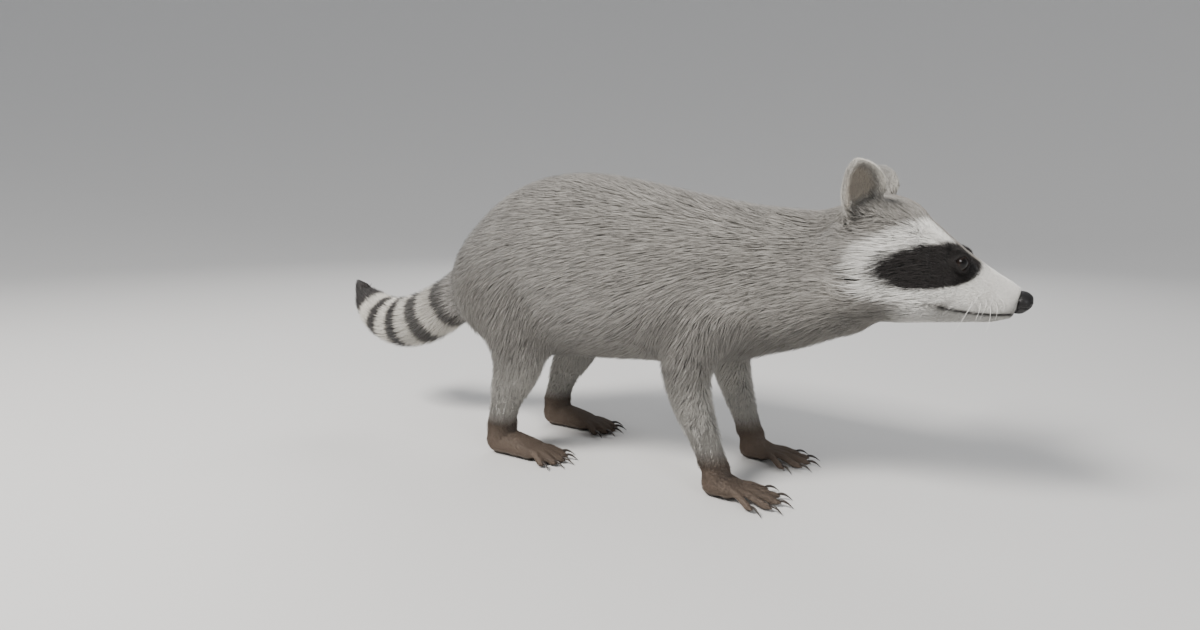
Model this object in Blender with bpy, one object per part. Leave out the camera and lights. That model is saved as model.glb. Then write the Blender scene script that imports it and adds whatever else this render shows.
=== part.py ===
"""A raccoon that stands on four feet, life size, measured over its coat.

Metres, +X forward along the body, +Y to the animal's left, +Z up, the floor at z = 0.
Each region of the body is lofted along its own line, the lofts are fused by a voxel
remesh, and the fused shape is parted with thin plane and arch cuts into named pieces.
"""

import math

import bmesh
import bpy
from mathutils import Matrix, Vector

# ---------------------------------------------------------------- driving sizes
SIDES = {"left": 1, "right": -1}
PART_GAP = 0.0003  # clearance between neighbouring pieces

BODY_VOXEL = 0.0034
HEAD_VOXEL = 0.0017
PAW_VOXEL = 0.0012
BODY_TRIANGLES = 2050
HEAD_TRIANGLES = 1600
FOREPAW_TRIANGLES = 340
HINDPAW_TRIANGLES = 340

STANCE_HALF_WIDTH = 0.060  # from the middle of the body to the middle of a foot
FORE_FOOT_X = 0.0
HIND_FOOT_X = -0.240

HEAD_ORIGIN = Vector((0.103, 0, 0.244))  # back of the skull, on the head's own axis
HEAD_PITCH = math.radians(19)
HEAD_SCALE = 1.14  # the sizes below, and the head's stations, are those of a middling male
EYE_RADIUS = 0.0098
EYE_PLACE = (0.0750, 0.0254, 0.0162)  # along, out and up from the head's origin
NOSE_PLACE = (0.1275, 0, 0.0025)
NOSE_RADII = (0.0088, 0.0108, 0.0090)
EAR_BASE = (0.005, 0.047, 0.034)
EAR_RADII = (0.0122, 0.0240, 0.0300)  # thickness, half width, half height
EAR_SPLAY = math.radians(27)
EAR_TURN = math.radians(34)
EAR_PITCH = math.radians(6)
EAR_ROOT = 0.004  # height of an ear's cut plane over its base

WRIST_Z = 0.034
ANKLE_Z = 0.040
CLAW_RADIUS = 0.0017
CLAW_LENGTH = {"fore": 0.0110, "hind": 0.0115}

COLOURS = {
    "fur": ((0.30, 0.29, 0.27), 0.85),
    "tail": ((0.22, 0.20, 0.18), 0.85),
    "ear": ((0.42, 0.41, 0.39), 0.85),
    "paw": ((0.17, 0.13, 0.10), 0.65),
    "nose": ((0.012, 0.011, 0.011), 0.35),
    "eye": ((0.020, 0.010, 0.006), 0.08),
    "claw": ((0.030, 0.026, 0.024), 0.35),
}


# ---------------------------------------------------------------- small tools
def clear_scene():
    for obj in list(bpy.data.objects):
        bpy.data.objects.remove(obj, do_unlink=True)


def coat_material(slot):
    material = bpy.data.materials.get(slot)
    if material is None:
        colour, roughness = COLOURS[slot]
        material = bpy.data.materials.new(slot)
        material.use_nodes = True
        shader = material.node_tree.nodes["Principled BSDF"]
        shader.inputs["Base Color"].default_value = (*colour, 1)
        shader.inputs["Roughness"].default_value = roughness
        shader.inputs["Metallic"].default_value = 0
    return material


def object_from(bm, name):
    bmesh.ops.recalc_face_normals(bm, faces=bm.faces)
    mesh = bpy.data.meshes.new(name)
    bm.to_mesh(mesh)
    bm.free()
    obj = bpy.data.objects.new(name, mesh)
    bpy.context.scene.collection.objects.link(obj)
    return obj


def bake_modifiers(obj):
    graph = bpy.context.evaluated_depsgraph_get()
    mesh = bpy.data.meshes.new_from_object(obj.evaluated_get(graph))
    obj.modifiers.clear()
    obj.data = mesh
    return obj


def copy_of(obj, name):
    twin = bpy.data.objects.new(name, obj.data.copy())
    bpy.context.scene.collection.objects.link(twin)
    return twin


def delete(*objects):
    for obj in objects:
        bpy.data.objects.remove(obj, do_unlink=True)


def catmull_rom(before, start, end, after, t):
    """A point of the smooth curve that runs from start to end."""
    return 0.5 * (
        2 * start
        + (end - before) * t
        + (2 * before - 5 * start + 4 * end - after) * t**2
        + (3 * start - before - 3 * end + after) * t**3
    )


def smooth_rows(rows, steps):
    """The rows with steps - 1 more between each two, on a smooth curve through them."""
    rows = [Vector(row) for row in rows]
    padded = [2 * rows[0] - rows[1], *rows, 2 * rows[-1] - rows[-2]]
    made = []
    for i in range(1, len(padded) - 2):
        for step in range(steps):
            made.append(catmull_rom(*padded[i - 1 : i + 3], step / steps))
    return [*made, rows[-1]]


def rounded(value, squareness):
    return math.copysign(abs(value) ** (2 / squareness), value)


def loft(name, rows, steps=4, sides=28, squareness=2.0):
    """A closed tube through rows of x, y, z, half width, reach to the back of the line, reach to its front.

    A ring stands square to the line, with its width along Y. On a line that runs forward, back
    means up and front means down; on one that runs down, they mean behind and ahead.
    """
    rows = smooth_rows(rows, steps)
    places = [row.resized(3) if len(row) < 3 else Vector(row[:3]) for row in rows]
    bm = bmesh.new()
    rings = []
    for i, row in enumerate(rows):
        ahead = places[min(i + 1, len(places) - 1)] - places[max(i - 1, 0)]
        ahead.y = 0
        across = Vector((0, 1, 0))
        upward = ahead.normalized().cross(across)
        ring = []
        for k in range(sides):
            angle = 2 * math.pi * k / sides
            out = rounded(math.cos(angle), squareness) * max(row[3], 1e-4)
            lift = rounded(math.sin(angle), squareness)
            lift *= max(row[4] if lift > 0 else row[5], 1e-4)
            ring.append(bm.verts.new(places[i] + across * out + upward * lift))
        rings.append(ring)
    for first, second in zip(rings, rings[1:]):
        for k in range(sides):
            bm.faces.new((first[k], first[k - 1], second[k - 1], second[k]))
    bm.faces.new(rings[0])
    bm.faces.new(reversed(rings[-1]))
    return object_from(bm, name)


def ellipsoid(name, place, radii, turn=Matrix.Identity(4), segments=24):
    bm = bmesh.new()
    bmesh.ops.create_uvsphere(bm, u_segments=segments, v_segments=segments // 2, radius=1)
    stretch = Matrix.Diagonal((*radii, 1))
    bm.transform(Matrix.Translation(place) @ turn @ stretch)
    return object_from(bm, name)


def smoothed(obj, turns):
    smooth = obj.modifiers.new("settle", "SMOOTH")
    smooth.factor = 0.5
    smooth.iterations = turns
    return bake_modifiers(obj)


def fused(name, shapes, voxel, smooth_turns, triangles):
    """One closed skin round all the shapes, softened and brought down to so many triangles."""
    bm = bmesh.new()
    for shape in shapes:
        bm.from_mesh(shape.data)
    delete(*shapes)
    obj = object_from(bm, name)
    remesh = obj.modifiers.new("fuse", "REMESH")
    remesh.mode = "VOXEL"
    remesh.voxel_size = voxel
    bake_modifiers(obj)
    smoothed(obj, smooth_turns)
    thin = obj.modifiers.new("thin", "DECIMATE")
    thin.ratio = triangles / (2 * len(obj.data.polygons))
    return bake_modifiers(obj)


def cut_flat(obj, place, outward):
    """Removes all of obj that lies beyond the plane at place, on the outward side, and closes the cut."""
    bm = bmesh.new()
    bm.from_mesh(obj.data)
    everything = [*bm.verts, *bm.edges, *bm.faces]
    cut = bmesh.ops.bisect_plane(
        bm, geom=everything, dist=1e-6, plane_co=place, plane_no=outward, clear_outer=True
    )
    rim = [e for e in cut["geom_cut"] if isinstance(e, bmesh.types.BMEdge) and e.is_boundary]
    filled = bmesh.ops.holes_fill(bm, edges=rim, sides=0)
    bmesh.ops.triangulate(bm, faces=filled["faces"])
    bmesh.ops.dissolve_degenerate(bm, dist=1e-5, edges=bm.edges)
    bm.to_mesh(obj.data)
    bm.free()
    return obj


def combine(obj, other, operation):
    boolean = obj.modifiers.new("combine", "BOOLEAN")
    boolean.operation = operation
    boolean.object = other
    return bake_modifiers(obj)


def finish(obj, name, slot):
    """Gives a piece its own name, material and soft shading."""
    obj.name = name
    obj.data.name = name
    obj.data.materials.clear()
    obj.data.materials.append(coat_material(slot))
    obj.data.shade_smooth()
    obj.data.set_sharp_from_angle(angle=math.radians(50))
    return obj


# ---------------------------------------------------------------- the head
HEAD_MATRIX = (
    Matrix.Translation(HEAD_ORIGIN)
    @ Matrix.Rotation(HEAD_PITCH, 4, "Y")
    @ Matrix.Diagonal((HEAD_SCALE, HEAD_SCALE, HEAD_SCALE, 1))
)


def on_head(along, out, up):
    return HEAD_MATRIX @ Vector((along, out, up))


def head_loft():
    """Skull, brow and muzzle: along, height of the widest line, half width, up, down."""
    stations = (
        (-0.022, -0.006, 0.052, 0.046, 0.048),
        (0.000, -0.010, 0.062, 0.059, 0.046),
        (0.022, -0.013, 0.066, 0.0620, 0.0415),
        (0.042, -0.014, 0.061, 0.0580, 0.0350),
        (0.059, -0.012, 0.053, 0.0505, 0.0290),
        (0.075, -0.009, 0.0415, 0.0405, 0.0245),
        (0.090, -0.006, 0.0300, 0.0300, 0.0222),
        (0.103, -0.004, 0.0240, 0.0235, 0.0195),
        (0.114, -0.002, 0.0205, 0.0190, 0.0170),
        (0.1235, 0.000, 0.0160, 0.0145, 0.0120),
        (0.1290, 0.001, 0.0070, 0.0070, 0.0055),
    )
    rows = [(along, 0, up, width, above, below) for along, up, width, above, below in stations]
    skull = loft("skull", rows, squareness=2.15)
    skull.data.transform(HEAD_MATRIX)
    return skull


def cheek_ruff(side):
    """The fan of long fur from the cheek, which makes the face broad."""
    place = on_head(0.022, 0.050 * side, -0.020)
    turn = HEAD_MATRIX.to_3x3().to_4x4() @ Matrix.Rotation(math.radians(-34) * side, 4, "Z")
    return ellipsoid("ruff", place, (0.038, 0.023, 0.033), turn)


def brow(side):
    place = on_head(0.0600, 0.0250 * side, 0.0230)
    turn = HEAD_MATRIX.to_3x3().to_4x4() @ Matrix.Rotation(math.radians(34), 4, "Y")
    return ellipsoid("brow", place, (0.0175, 0.0135, 0.0074), turn)


def muzzle_pad(side):
    place = on_head(0.109, 0.0105 * side, -0.002)
    turn = HEAD_MATRIX.to_3x3().to_4x4()
    return ellipsoid("muzzle_pad", place, (0.0175, 0.0120, 0.0135), turn)


def ear_frame(side):
    """Places an ear: its own X looks out of the cup, Y runs across it and Z up to its tip."""
    return (
        Matrix.Translation(on_head(EAR_BASE[0], EAR_BASE[1] * side, EAR_BASE[2]))
        @ Matrix.Rotation(EAR_PITCH, 4, "Y")
        @ Matrix.Rotation(EAR_TURN * side, 4, "Z")
        @ Matrix.Rotation(-EAR_SPLAY * side, 4, "X")
    )


def ear_cup(side):
    """A rounded ear: an egg narrowed to its tip and broad at its root, hollowed from the front."""
    thickness, half_width, half_height = EAR_RADII
    shell = ellipsoid("ear_shell", (0, 0, 0), EAR_RADII, segments=32)
    hollow_radii = (thickness, half_width - 0.0036, half_height - 0.0036)
    hollow = ellipsoid("ear_hollow", (thickness * 0.50, 0, 0.0005), hollow_radii, segments=32)
    for shape in (shell, hollow):
        for vertex in shape.data.vertices:
            share = vertex.co.z / half_height
            root = min(share, 0) ** 2
            vertex.co.y *= 1 - 0.22 * max(share, 0) ** 2 + 0.55 * root
            vertex.co.x -= 0.0030 * share**2
            if vertex.co.x < 0:
                vertex.co.x *= 1 + 1.1 * root
    combine(shell, hollow, "DIFFERENCE")
    delete(hollow)
    lift = Matrix.Translation((0, 0, 0.46 * half_height))
    shell.data.transform(ear_frame(side) @ lift)
    return shell


def ear_root(side):
    """The mound of muscle and fur that an ear stands in."""
    place = Matrix.Translation((-0.0030, 0.0070 * side, -0.0065))
    return ellipsoid("ear_root", (0, 0, 0), (0.0150, 0.0215, 0.0130), ear_frame(side) @ place)


# ---------------------------------------------------------------- trunk, tail and legs
TAIL_LINE = (
    # x, height, radius
    (-0.300, 0.200, 0.026),
    (-0.342, 0.182, 0.0325),
    (-0.386, 0.155, 0.0355),
    (-0.428, 0.133, 0.0375),
    (-0.468, 0.124, 0.0365),
    (-0.503, 0.133, 0.0310),
    (-0.527, 0.153, 0.0220),
    (-0.539, 0.168, 0.0105),
)


def trunk_loft():
    """Rump to neck: along, height of the widest line, half width, up, down."""
    stations = (
        (-0.362, 0.184, 0.020, 0.022, 0.022),
        (-0.350, 0.186, 0.038, 0.038, 0.044),
        (-0.326, 0.187, 0.062, 0.070, 0.066),
        (-0.290, 0.186, 0.082, 0.103, 0.075),
        (-0.245, 0.185, 0.093, 0.126, 0.075),
        (-0.190, 0.184, 0.098, 0.134, 0.074),
        (-0.130, 0.186, 0.096, 0.127, 0.074),
        (-0.070, 0.190, 0.088, 0.112, 0.075),
        (-0.020, 0.196, 0.080, 0.097, 0.076),
        (0.030, 0.205, 0.071, 0.080, 0.071),
        (0.072, 0.214, 0.063, 0.067, 0.065),
        (0.105, 0.223, 0.059, 0.060, 0.060),
        (0.138, 0.228, 0.044, 0.044, 0.044),
    )
    rows = [(x, 0, height, width, above, below) for x, height, width, above, below in stations]
    return loft("barrel", rows, sides=36)


def tail_loft():
    return loft("tail", [(x, 0, z, r, r, r) for x, z, r in TAIL_LINE], sides=24)


def foreleg_loft(side):
    """Shoulder to wrist: forward, out from the middle, height, half width, behind, ahead."""
    rows = (
        (-0.010, 0.044, 0.226, 0.028, 0.050, 0.046),
        (-0.022, 0.057, 0.176, 0.032, 0.044, 0.042),
        (-0.036, 0.064, 0.134, 0.029, 0.031, 0.031),
        (-0.031, 0.064, 0.096, 0.0220, 0.0220, 0.0230),
        (-0.018, 0.062, 0.058, 0.0170, 0.0170, 0.0175),
        (-0.009, STANCE_HALF_WIDTH, 0.034, 0.0150, 0.0150, 0.0150),
        (-0.003, STANCE_HALF_WIDTH, 0.014, 0.0150, 0.0130, 0.0130),
    )
    placed = [(FORE_FOOT_X + x, y * side, *rest) for x, y, *rest in rows]
    return loft("foreleg", placed)


def hindleg_loft(side):
    """Hip to heel, with the thigh, the bend of the knee and the slim shank."""
    rows = (
        (-0.020, 0.040, 0.240, 0.028, 0.050, 0.048),
        (-0.010, 0.058, 0.195, 0.038, 0.062, 0.056),
        (0.006, 0.068, 0.148, 0.034, 0.050, 0.047),
        (0.006, 0.067, 0.112, 0.026, 0.034, 0.033),
        (-0.010, 0.063, 0.076, 0.0195, 0.0235, 0.0220),
        (-0.021, STANCE_HALF_WIDTH, 0.046, 0.0165, 0.0185, 0.0170),
        (-0.022, STANCE_HALF_WIDTH, 0.018, 0.0160, 0.0150, 0.0170),
    )
    placed = [(HIND_FOOT_X + x, y * side, *rest) for x, y, *rest in rows]
    return loft("hindleg", placed)


# ---------------------------------------------------------------- paws
# Each digit, from the inner one out: yaw towards the outside in degrees, and length.
DIGITS = {
    "fore": ((-34, 0.0335), (-15, 0.0440), (0, 0.0475), (15, 0.0445), (32, 0.0345)),
    "hind": ((-28, 0.0285), (-13, 0.0355), (0, 0.0380), (13, 0.0360), (28, 0.0290)),
}
KNUCKLES = {"fore": (0.0130, 0.0125, 0.0105), "hind": (0.0240, 0.0130, 0.0110)}
DIGIT_RADIUS = {"fore": 0.0041, "hind": 0.0045}
FOOT_X = {"fore": FORE_FOOT_X, "hind": HIND_FOOT_X}


def digit_line(foot, side, number):
    """Root, first joint, last joint and tip of a digit, and the way it points."""
    yaw, length = DIGITS[foot][number]
    forward, spread, height = KNUCKLES[foot]
    angle = math.radians(yaw)
    way = Vector((math.cos(angle), math.sin(angle) * side, 0))
    root = Vector((FOOT_X[foot] + forward, STANCE_HALF_WIDTH * side, height))
    root += Vector((-0.004 * abs(angle) ** 2, spread * math.sin(angle) * 1.55 * side, 0))
    shares_and_heights = ((0.0, height), (0.40, 0.0098), (0.76, 0.0046), (1.0, 0.0042))
    line = [root + way * (length * share) for share, _ in shares_and_heights]
    for point, (_, z) in zip(line, shares_and_heights):
        point.z = z
    return line, way


def digit_loft(foot, side, number):
    line, _ = digit_line(foot, side, number)
    radius = DIGIT_RADIUS[foot]
    swell = (1.12, 1.00, 1.10, 0.74)
    rows = [(*point, radius * s, radius * s, radius * s) for point, s in zip(line, swell)]
    return loft("digit", rows, sides=14)


def claw(foot, side, number, extra=0.0):
    """A curved, tapered claw that leaves the top of the digit's tip; extra makes its socket's cutter."""
    line, way = digit_line(foot, side, number)
    length = CLAW_LENGTH[foot]
    tip = line[-1]
    bm = bmesh.new()
    rings = []
    stations = ((-0.35, 0.0022, 0.90), (0.15, 0.0026, 1.0), (0.55, 0.0008, 0.66), (1.0, -0.0032, 0.12))
    across = Vector((-way.y, way.x, 0))
    for share, rise, thickness in stations:
        centre = tip + way * (length * share) + Vector((0, 0, rise))
        radius = CLAW_RADIUS * thickness + extra
        ring = []
        for k in range(6):
            angle = 2 * math.pi * k / 6
            offset = across * (math.cos(angle) * radius * 0.8) + Vector((0, 0, math.sin(angle) * radius))
            ring.append(bm.verts.new(centre + offset))
        rings.append(ring)
    for first, second in zip(rings, rings[1:]):
        for k in range(6):
            bm.faces.new((first[k - 1], first[k], second[k], second[k - 1]))
    bm.faces.new(rings[0])
    bm.faces.new(rings[-1])
    return object_from(bm, "claw")


def palm(side):
    """The forepaw's palm, which carries the digits and flattens on the floor."""
    x = FORE_FOOT_X
    y = STANCE_HALF_WIDTH * side
    rows = (
        (x - 0.018, y, 0.0110, 0.0080, 0.0080, 0.0110),
        (x - 0.010, y, 0.0120, 0.0140, 0.0120, 0.0130),
        (x + 0.003, y, 0.0115, 0.0165, 0.0110, 0.0125),
        (x + 0.012, y, 0.0105, 0.0170, 0.0080, 0.0110),
        (x + 0.018, y, 0.0090, 0.0130, 0.0055, 0.0085),
    )
    return loft("palm", rows, squareness=2.3)


def sole(side):
    """The hind foot's long sole, from the heel to the ball."""
    x = HIND_FOOT_X
    y = STANCE_HALF_WIDTH * side
    rows = (
        (x - 0.038, y, 0.0120, 0.0090, 0.0080, 0.0110),
        (x - 0.029, y, 0.0140, 0.0145, 0.0140, 0.0150),
        (x - 0.010, y, 0.0130, 0.0160, 0.0140, 0.0140),
        (x + 0.010, y, 0.0115, 0.0170, 0.0110, 0.0125),
        (x + 0.022, y, 0.0100, 0.0175, 0.0080, 0.0110),
        (x + 0.030, y, 0.0085, 0.0130, 0.0050, 0.0080),
    )
    return loft("sole", rows, squareness=2.3)


def paw(foot, side_name):
    """A whole paw on the floor, with a socket at the end of each digit for its claw."""
    side = SIDES[side_name]
    leg, base = (foreleg_loft, palm) if foot == "fore" else (hindleg_loft, sole)
    shapes = [leg(side), base(side)]
    shapes += [digit_loft(foot, side, n) for n in range(5)]
    triangles = FOREPAW_TRIANGLES if foot == "fore" else HINDPAW_TRIANGLES
    for shape in shapes[:1]:
        cut_flat(shape, (0, 0, 0.056), (0, 0, 1))
    made = fused("paw", shapes, PAW_VOXEL, 3, triangles)
    top = WRIST_Z if foot == "fore" else ANKLE_Z
    cut_flat(made, (0, 0, top - PART_GAP), (0, 0, 1))
    cut_flat(made, (0, 0, 0), (0, 0, -1))
    for number in range(5):
        cutter = claw(foot, side, number, PART_GAP)
        combine(made, cutter, "DIFFERENCE")
        delete(cutter)
        finish(claw(foot, side, number), f"claw_{foot}_{side_name}_{number + 1}", "claw")
    return finish(made, f"{foot}paw_{side_name}", "paw")


# ---------------------------------------------------------------- parting the body
NECK_BACK = (Vector((0.036, 0, 0.205)), Vector((0.99, 0, 0.14)).normalized())
HEAD_BACK = (Vector((0.087, 0, 0.240)), Vector((0.99, 0, 0.14)).normalized())
TAIL_ROOT_X = -0.352
TAIL_CUTS = (0.44, 0.78)  # shares of the tail's length where its lengths meet
LEG_ARCHES = {
    # middle along the body, radius, height of the arch's centre, inner face
    "fore": (FORE_FOOT_X - 0.026, 0.054, 0.144, 0.020),
    "hind": (HIND_FOOT_X - 0.006, 0.066, 0.158, 0.020),
}


def arch_prism(foot, side, extra=0.0):
    """A round-topped block outside the body's middle that holds one whole leg."""
    middle, radius, spring, inner = LEG_ARCHES[foot]
    radius += extra
    outline = [
        (middle - radius * math.cos(math.pi * k / 12), spring + radius * math.sin(math.pi * k / 12))
        for k in range(13)
    ]
    outline += [(middle + radius, -0.05), (middle - radius, -0.05)]
    bm = bmesh.new()
    rings = []
    for out in (inner - extra, 0.2):
        rings.append([bm.verts.new((x, out * side, z)) for x, z in outline])
    count = len(outline)
    for k in range(count):
        bm.faces.new((rings[0][k - 1], rings[0][k], rings[1][k], rings[1][k - 1]))
    bm.faces.new(rings[0])
    bm.faces.new(rings[1])
    return object_from(bm, "arch")


def tail_plane(share):
    """A plane square to the tail's line at that share of its length."""
    line = [Vector((x, 0, z)) for x, z, _ in TAIL_LINE[1:]]
    lengths = [(b - a).length for a, b in zip(line, line[1:])]
    left = share * sum(lengths)
    for a, b, length in zip(line, line[1:], lengths):
        if left <= length:
            return a.lerp(b, left / length), (b - a).normalized()
        left -= length
    raise ValueError("share is past the tail's end")


def slice_between(obj, name, start=None, end=None):
    """The length of obj between two planes, given as place and direction, with half a gap at each."""
    piece = copy_of(obj, name)
    for plane, sign in ((start, -1), (end, 1)):
        if plane is not None:
            place, way = plane
            cut_flat(piece, place - way * (PART_GAP / 2 * sign), way * sign)
    return piece


def build_body():
    shapes = [trunk_loft(), tail_loft()]
    for side in SIDES.values():
        shapes += [foreleg_loft(side), hindleg_loft(side)]
    body = fused("body", shapes, BODY_VOXEL, 10, BODY_TRIANGLES)

    backward = Vector((-1, 0, 0))
    tail_root = (Vector((TAIL_ROOT_X, 0, 0)), backward)
    planes = [tail_root, *[tail_plane(share) for share in TAIL_CUTS], None]
    for name, start, end in zip(("tail_base", "tail_middle", "tail_tip"), planes, planes[1:]):
        finish(slice_between(body, name, start, end), name, "tail")

    finish(slice_between(body, "neck", NECK_BACK, HEAD_BACK), "neck", "fur")
    front = (NECK_BACK[0], -NECK_BACK[1])
    trunk = slice_between(slice_between(body, "rump", front), "trunk", (tail_root[0], -backward))
    for foot, top in (("fore", WRIST_Z), ("hind", ANKLE_Z)):
        for side_name, side in SIDES.items():
            leg = copy_of(trunk, "leg")
            arch = arch_prism(foot, side)
            combine(leg, arch, "INTERSECT")
            cut_flat(leg, (0, 0, top), (0, 0, -1))
            finish(leg, f"{foot}leg_{side_name}", "fur")
            delete(arch)
    for foot in LEG_ARCHES:
        for side in SIDES.values():
            arch = arch_prism(foot, side, PART_GAP)
            combine(trunk, arch, "DIFFERENCE")
            delete(arch)
    finish(trunk, "trunk", "fur")
    delete(body, bpy.data.objects["rump"])


# ---------------------------------------------------------------- parting the head
def eye_place(side):
    return on_head(EYE_PLACE[0], EYE_PLACE[1] * side, EYE_PLACE[2])


def nose_pad(extra=0.0):
    radii = [r + extra for r in NOSE_RADII]
    turn = HEAD_MATRIX.to_3x3().to_4x4()
    return ellipsoid("nose", on_head(*NOSE_PLACE), radii, turn, segments=16)


def build_head():
    shapes = [head_loft(), trunk_loft()]
    cut_flat(shapes[1], (0.066, 0, 0.2), (-1, 0, 0))
    for side in SIDES.values():
        shapes += [cheek_ruff(side), brow(side), muzzle_pad(side)]
        shapes += [ear_root(side), ear_cup(side)]
    whole = fused("skull_and_ears", shapes, HEAD_VOXEL, 5, HEAD_TRIANGLES)
    for side_name, side in SIDES.items():
        frame = ear_frame(side)
        upward = (frame.to_3x3() @ Vector((0, 0, 1))).normalized()
        root = frame.translation + upward * EAR_ROOT
        ear = copy_of(whole, "ear")
        cut_flat(ear, root + upward * (PART_GAP / 2), -upward)
        keep_only_beside(ear, frame.translation)
        finish(ear, f"ear_{side_name}", "ear")
    for side in SIDES.values():
        cutter = ear_block(side)
        combine(whole, cutter, "DIFFERENCE")
        delete(cutter)
    place, way = HEAD_BACK
    cut_flat(whole, place + way * (PART_GAP / 2), -way)

    for side_name, side in SIDES.items():
        socket = ellipsoid("socket", eye_place(side), [EYE_RADIUS + PART_GAP] * 3, segments=14)
        combine(whole, socket, "DIFFERENCE")
        delete(socket)
        ball = ellipsoid("eye", eye_place(side), [EYE_RADIUS] * 3, segments=14)
        finish(ball, f"eye_{side_name}", "eye")
    socket = nose_pad(PART_GAP)
    combine(whole, socket, "DIFFERENCE")
    delete(socket)
    finish(nose_pad(), "nose", "nose")
    finish(whole, "head", "fur")


def keep_only_beside(obj, place):
    """Drops every separate island of obj but the one nearest to place."""
    bm = bmesh.new()
    bm.from_mesh(obj.data)
    unseen = set(bm.verts)
    islands = []
    while unseen:
        front = [unseen.pop()]
        island = set(front)
        while front:
            for edge in front.pop().link_edges:
                for vertex in edge.verts:
                    if vertex in unseen:
                        unseen.discard(vertex)
                        island.add(vertex)
                        front.append(vertex)
        islands.append(island)
    nearest = min(islands, key=lambda island: min((v.co - place).length for v in island))
    for island in islands:
        if island is not nearest:
            bmesh.ops.delete(bm, geom=list(island), context="VERTS")
    bm.to_mesh(obj.data)
    bm.free()


def ear_block(side):
    """A block round one ear above its cut plane, which clears it from the head."""
    bm = bmesh.new()
    bmesh.ops.create_cube(bm, size=1)
    size = Matrix.Diagonal((0.06, 0.07, 0.08, 1))
    rise = Matrix.Translation((0, 0, EAR_ROOT - PART_GAP / 2 + 0.04))
    bm.transform(ear_frame(side) @ rise @ size)
    return object_from(bm, "ear_block")


# ---------------------------------------------------------------- the whole animal
def stand_on_centre():
    """Moves everything so that the origin is on the floor under the middle of the whole animal."""
    points = [v.co for obj in bpy.data.objects for v in obj.data.vertices]
    middle = [(min(p[i] for p in points) + max(p[i] for p in points)) / 2 for i in (0, 1)]
    raccoon = bpy.data.objects.new("raccoon", None)
    bpy.context.scene.collection.objects.link(raccoon)
    for obj in bpy.data.objects:
        if obj is not raccoon:
            obj.parent = raccoon
    raccoon.location = (-middle[0], -middle[1], 0)


def main():
    clear_scene()
    build_body()
    build_head()
    for foot in ("fore", "hind"):
        for side_name in SIDES:
            paw(foot, side_name)
    stand_on_centre()


main()
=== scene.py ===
"""A raccoon that stands on four feet.

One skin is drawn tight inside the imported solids, and tufts of fur are laid over it along the lie
of the coat, out to the solids' own surface. Eyes, nose, claws and whiskers are pieces of their own.
Places are in metres: x runs ahead, y to the animal's left, z up.
"""

import math

import bmesh
import bpy
import numpy as np
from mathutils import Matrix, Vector, kdtree, noise
from mathutils.bvhtree import BVHTree


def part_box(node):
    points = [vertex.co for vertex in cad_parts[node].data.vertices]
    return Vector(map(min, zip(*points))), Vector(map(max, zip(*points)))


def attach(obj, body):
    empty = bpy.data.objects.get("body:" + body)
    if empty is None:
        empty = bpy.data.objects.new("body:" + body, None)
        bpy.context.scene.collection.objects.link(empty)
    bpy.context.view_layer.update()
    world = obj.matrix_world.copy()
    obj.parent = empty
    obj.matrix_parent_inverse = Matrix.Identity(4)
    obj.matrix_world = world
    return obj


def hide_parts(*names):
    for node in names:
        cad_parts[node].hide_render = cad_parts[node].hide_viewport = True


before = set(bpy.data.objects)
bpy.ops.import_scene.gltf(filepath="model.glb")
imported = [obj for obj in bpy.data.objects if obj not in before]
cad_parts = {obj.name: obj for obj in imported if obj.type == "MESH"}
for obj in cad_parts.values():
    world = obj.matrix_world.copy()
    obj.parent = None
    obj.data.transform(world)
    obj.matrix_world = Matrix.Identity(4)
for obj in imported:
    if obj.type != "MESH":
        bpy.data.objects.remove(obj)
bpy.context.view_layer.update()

rng = np.random.default_rng(7)

MM = 0.001
SIDES = {"left": 1, "right": -1}
FEET = ("fore", "hind")
LEFTWARD = np.array((0, 1, 0))
UPWARD = np.array((0, 0, 1))


# ---------------------------------------------------------------- places read from the frame
def middle(node):
    low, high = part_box(node)
    return (low + high) / 2


def extent(node):
    low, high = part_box(node)
    return high - low


HEAD_PITCH = math.radians(19)
head_forward = np.array((math.cos(HEAD_PITCH), 0, -math.sin(HEAD_PITCH)))
head_up = np.array((math.sin(HEAD_PITCH), 0, math.cos(HEAD_PITCH)))
eye_centre = {side: np.array(middle(f"eye_{side}")) for side in SIDES}
eye_radius = extent("eye_left").z / 2
between_eyes = (eye_centre["left"] + eye_centre["right"]) / 2
nose_centre = np.array(middle("nose"))
nose_half_width = extent("nose").y / 2
nose_radii = nose_half_width * np.array((0.815, 1.0, 0.833))
head_size = nose_half_width / 0.01145  # against the head that the measures below are given for
EAR_HALF_WIDTH = 0.0240
EAR_HALF_HEIGHT = 0.0300
HEEL_TO_FORE_FOOT = 0.2799
FOOT_STEP = 0.240
FOOT_OUT = 0.060
fore_foot_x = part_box("hindpaw_left")[0].x + HEEL_TO_FORE_FOOT
hind_foot_x = fore_foot_x - FOOT_STEP

# The tail's middle line and its radius over the fur, from the root to the tip.
TAIL_STATIONS = (
    # x from the fore feet, height, radius
    (-0.300, 0.200, 0.026),
    (-0.342, 0.182, 0.0325),
    (-0.386, 0.155, 0.0355),
    (-0.428, 0.133, 0.0375),
    (-0.468, 0.124, 0.0365),
    (-0.503, 0.133, 0.0310),
    (-0.527, 0.153, 0.0220),
    (-0.539, 0.168, 0.0105),
)


# ---------------------------------------------------------------- number helpers
def unit(v):
    return v / np.maximum(np.linalg.norm(v, axis=-1, keepdims=True), 1e-12)


def smoothstep(low, high, x):
    t = np.clip((x - low) / (high - low), 0, 1)
    return t * t * (3 - 2 * t)


def mix(a, b, t):
    return a + (b - a) * t


def blend(a, b, t):
    """Colours or rows of numbers between a and b, with a share for each row."""
    return a + (b - a) * np.atleast_1d(t)[:, None]


def dot(a, b):
    return np.sum(a * b, axis=-1)


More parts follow.
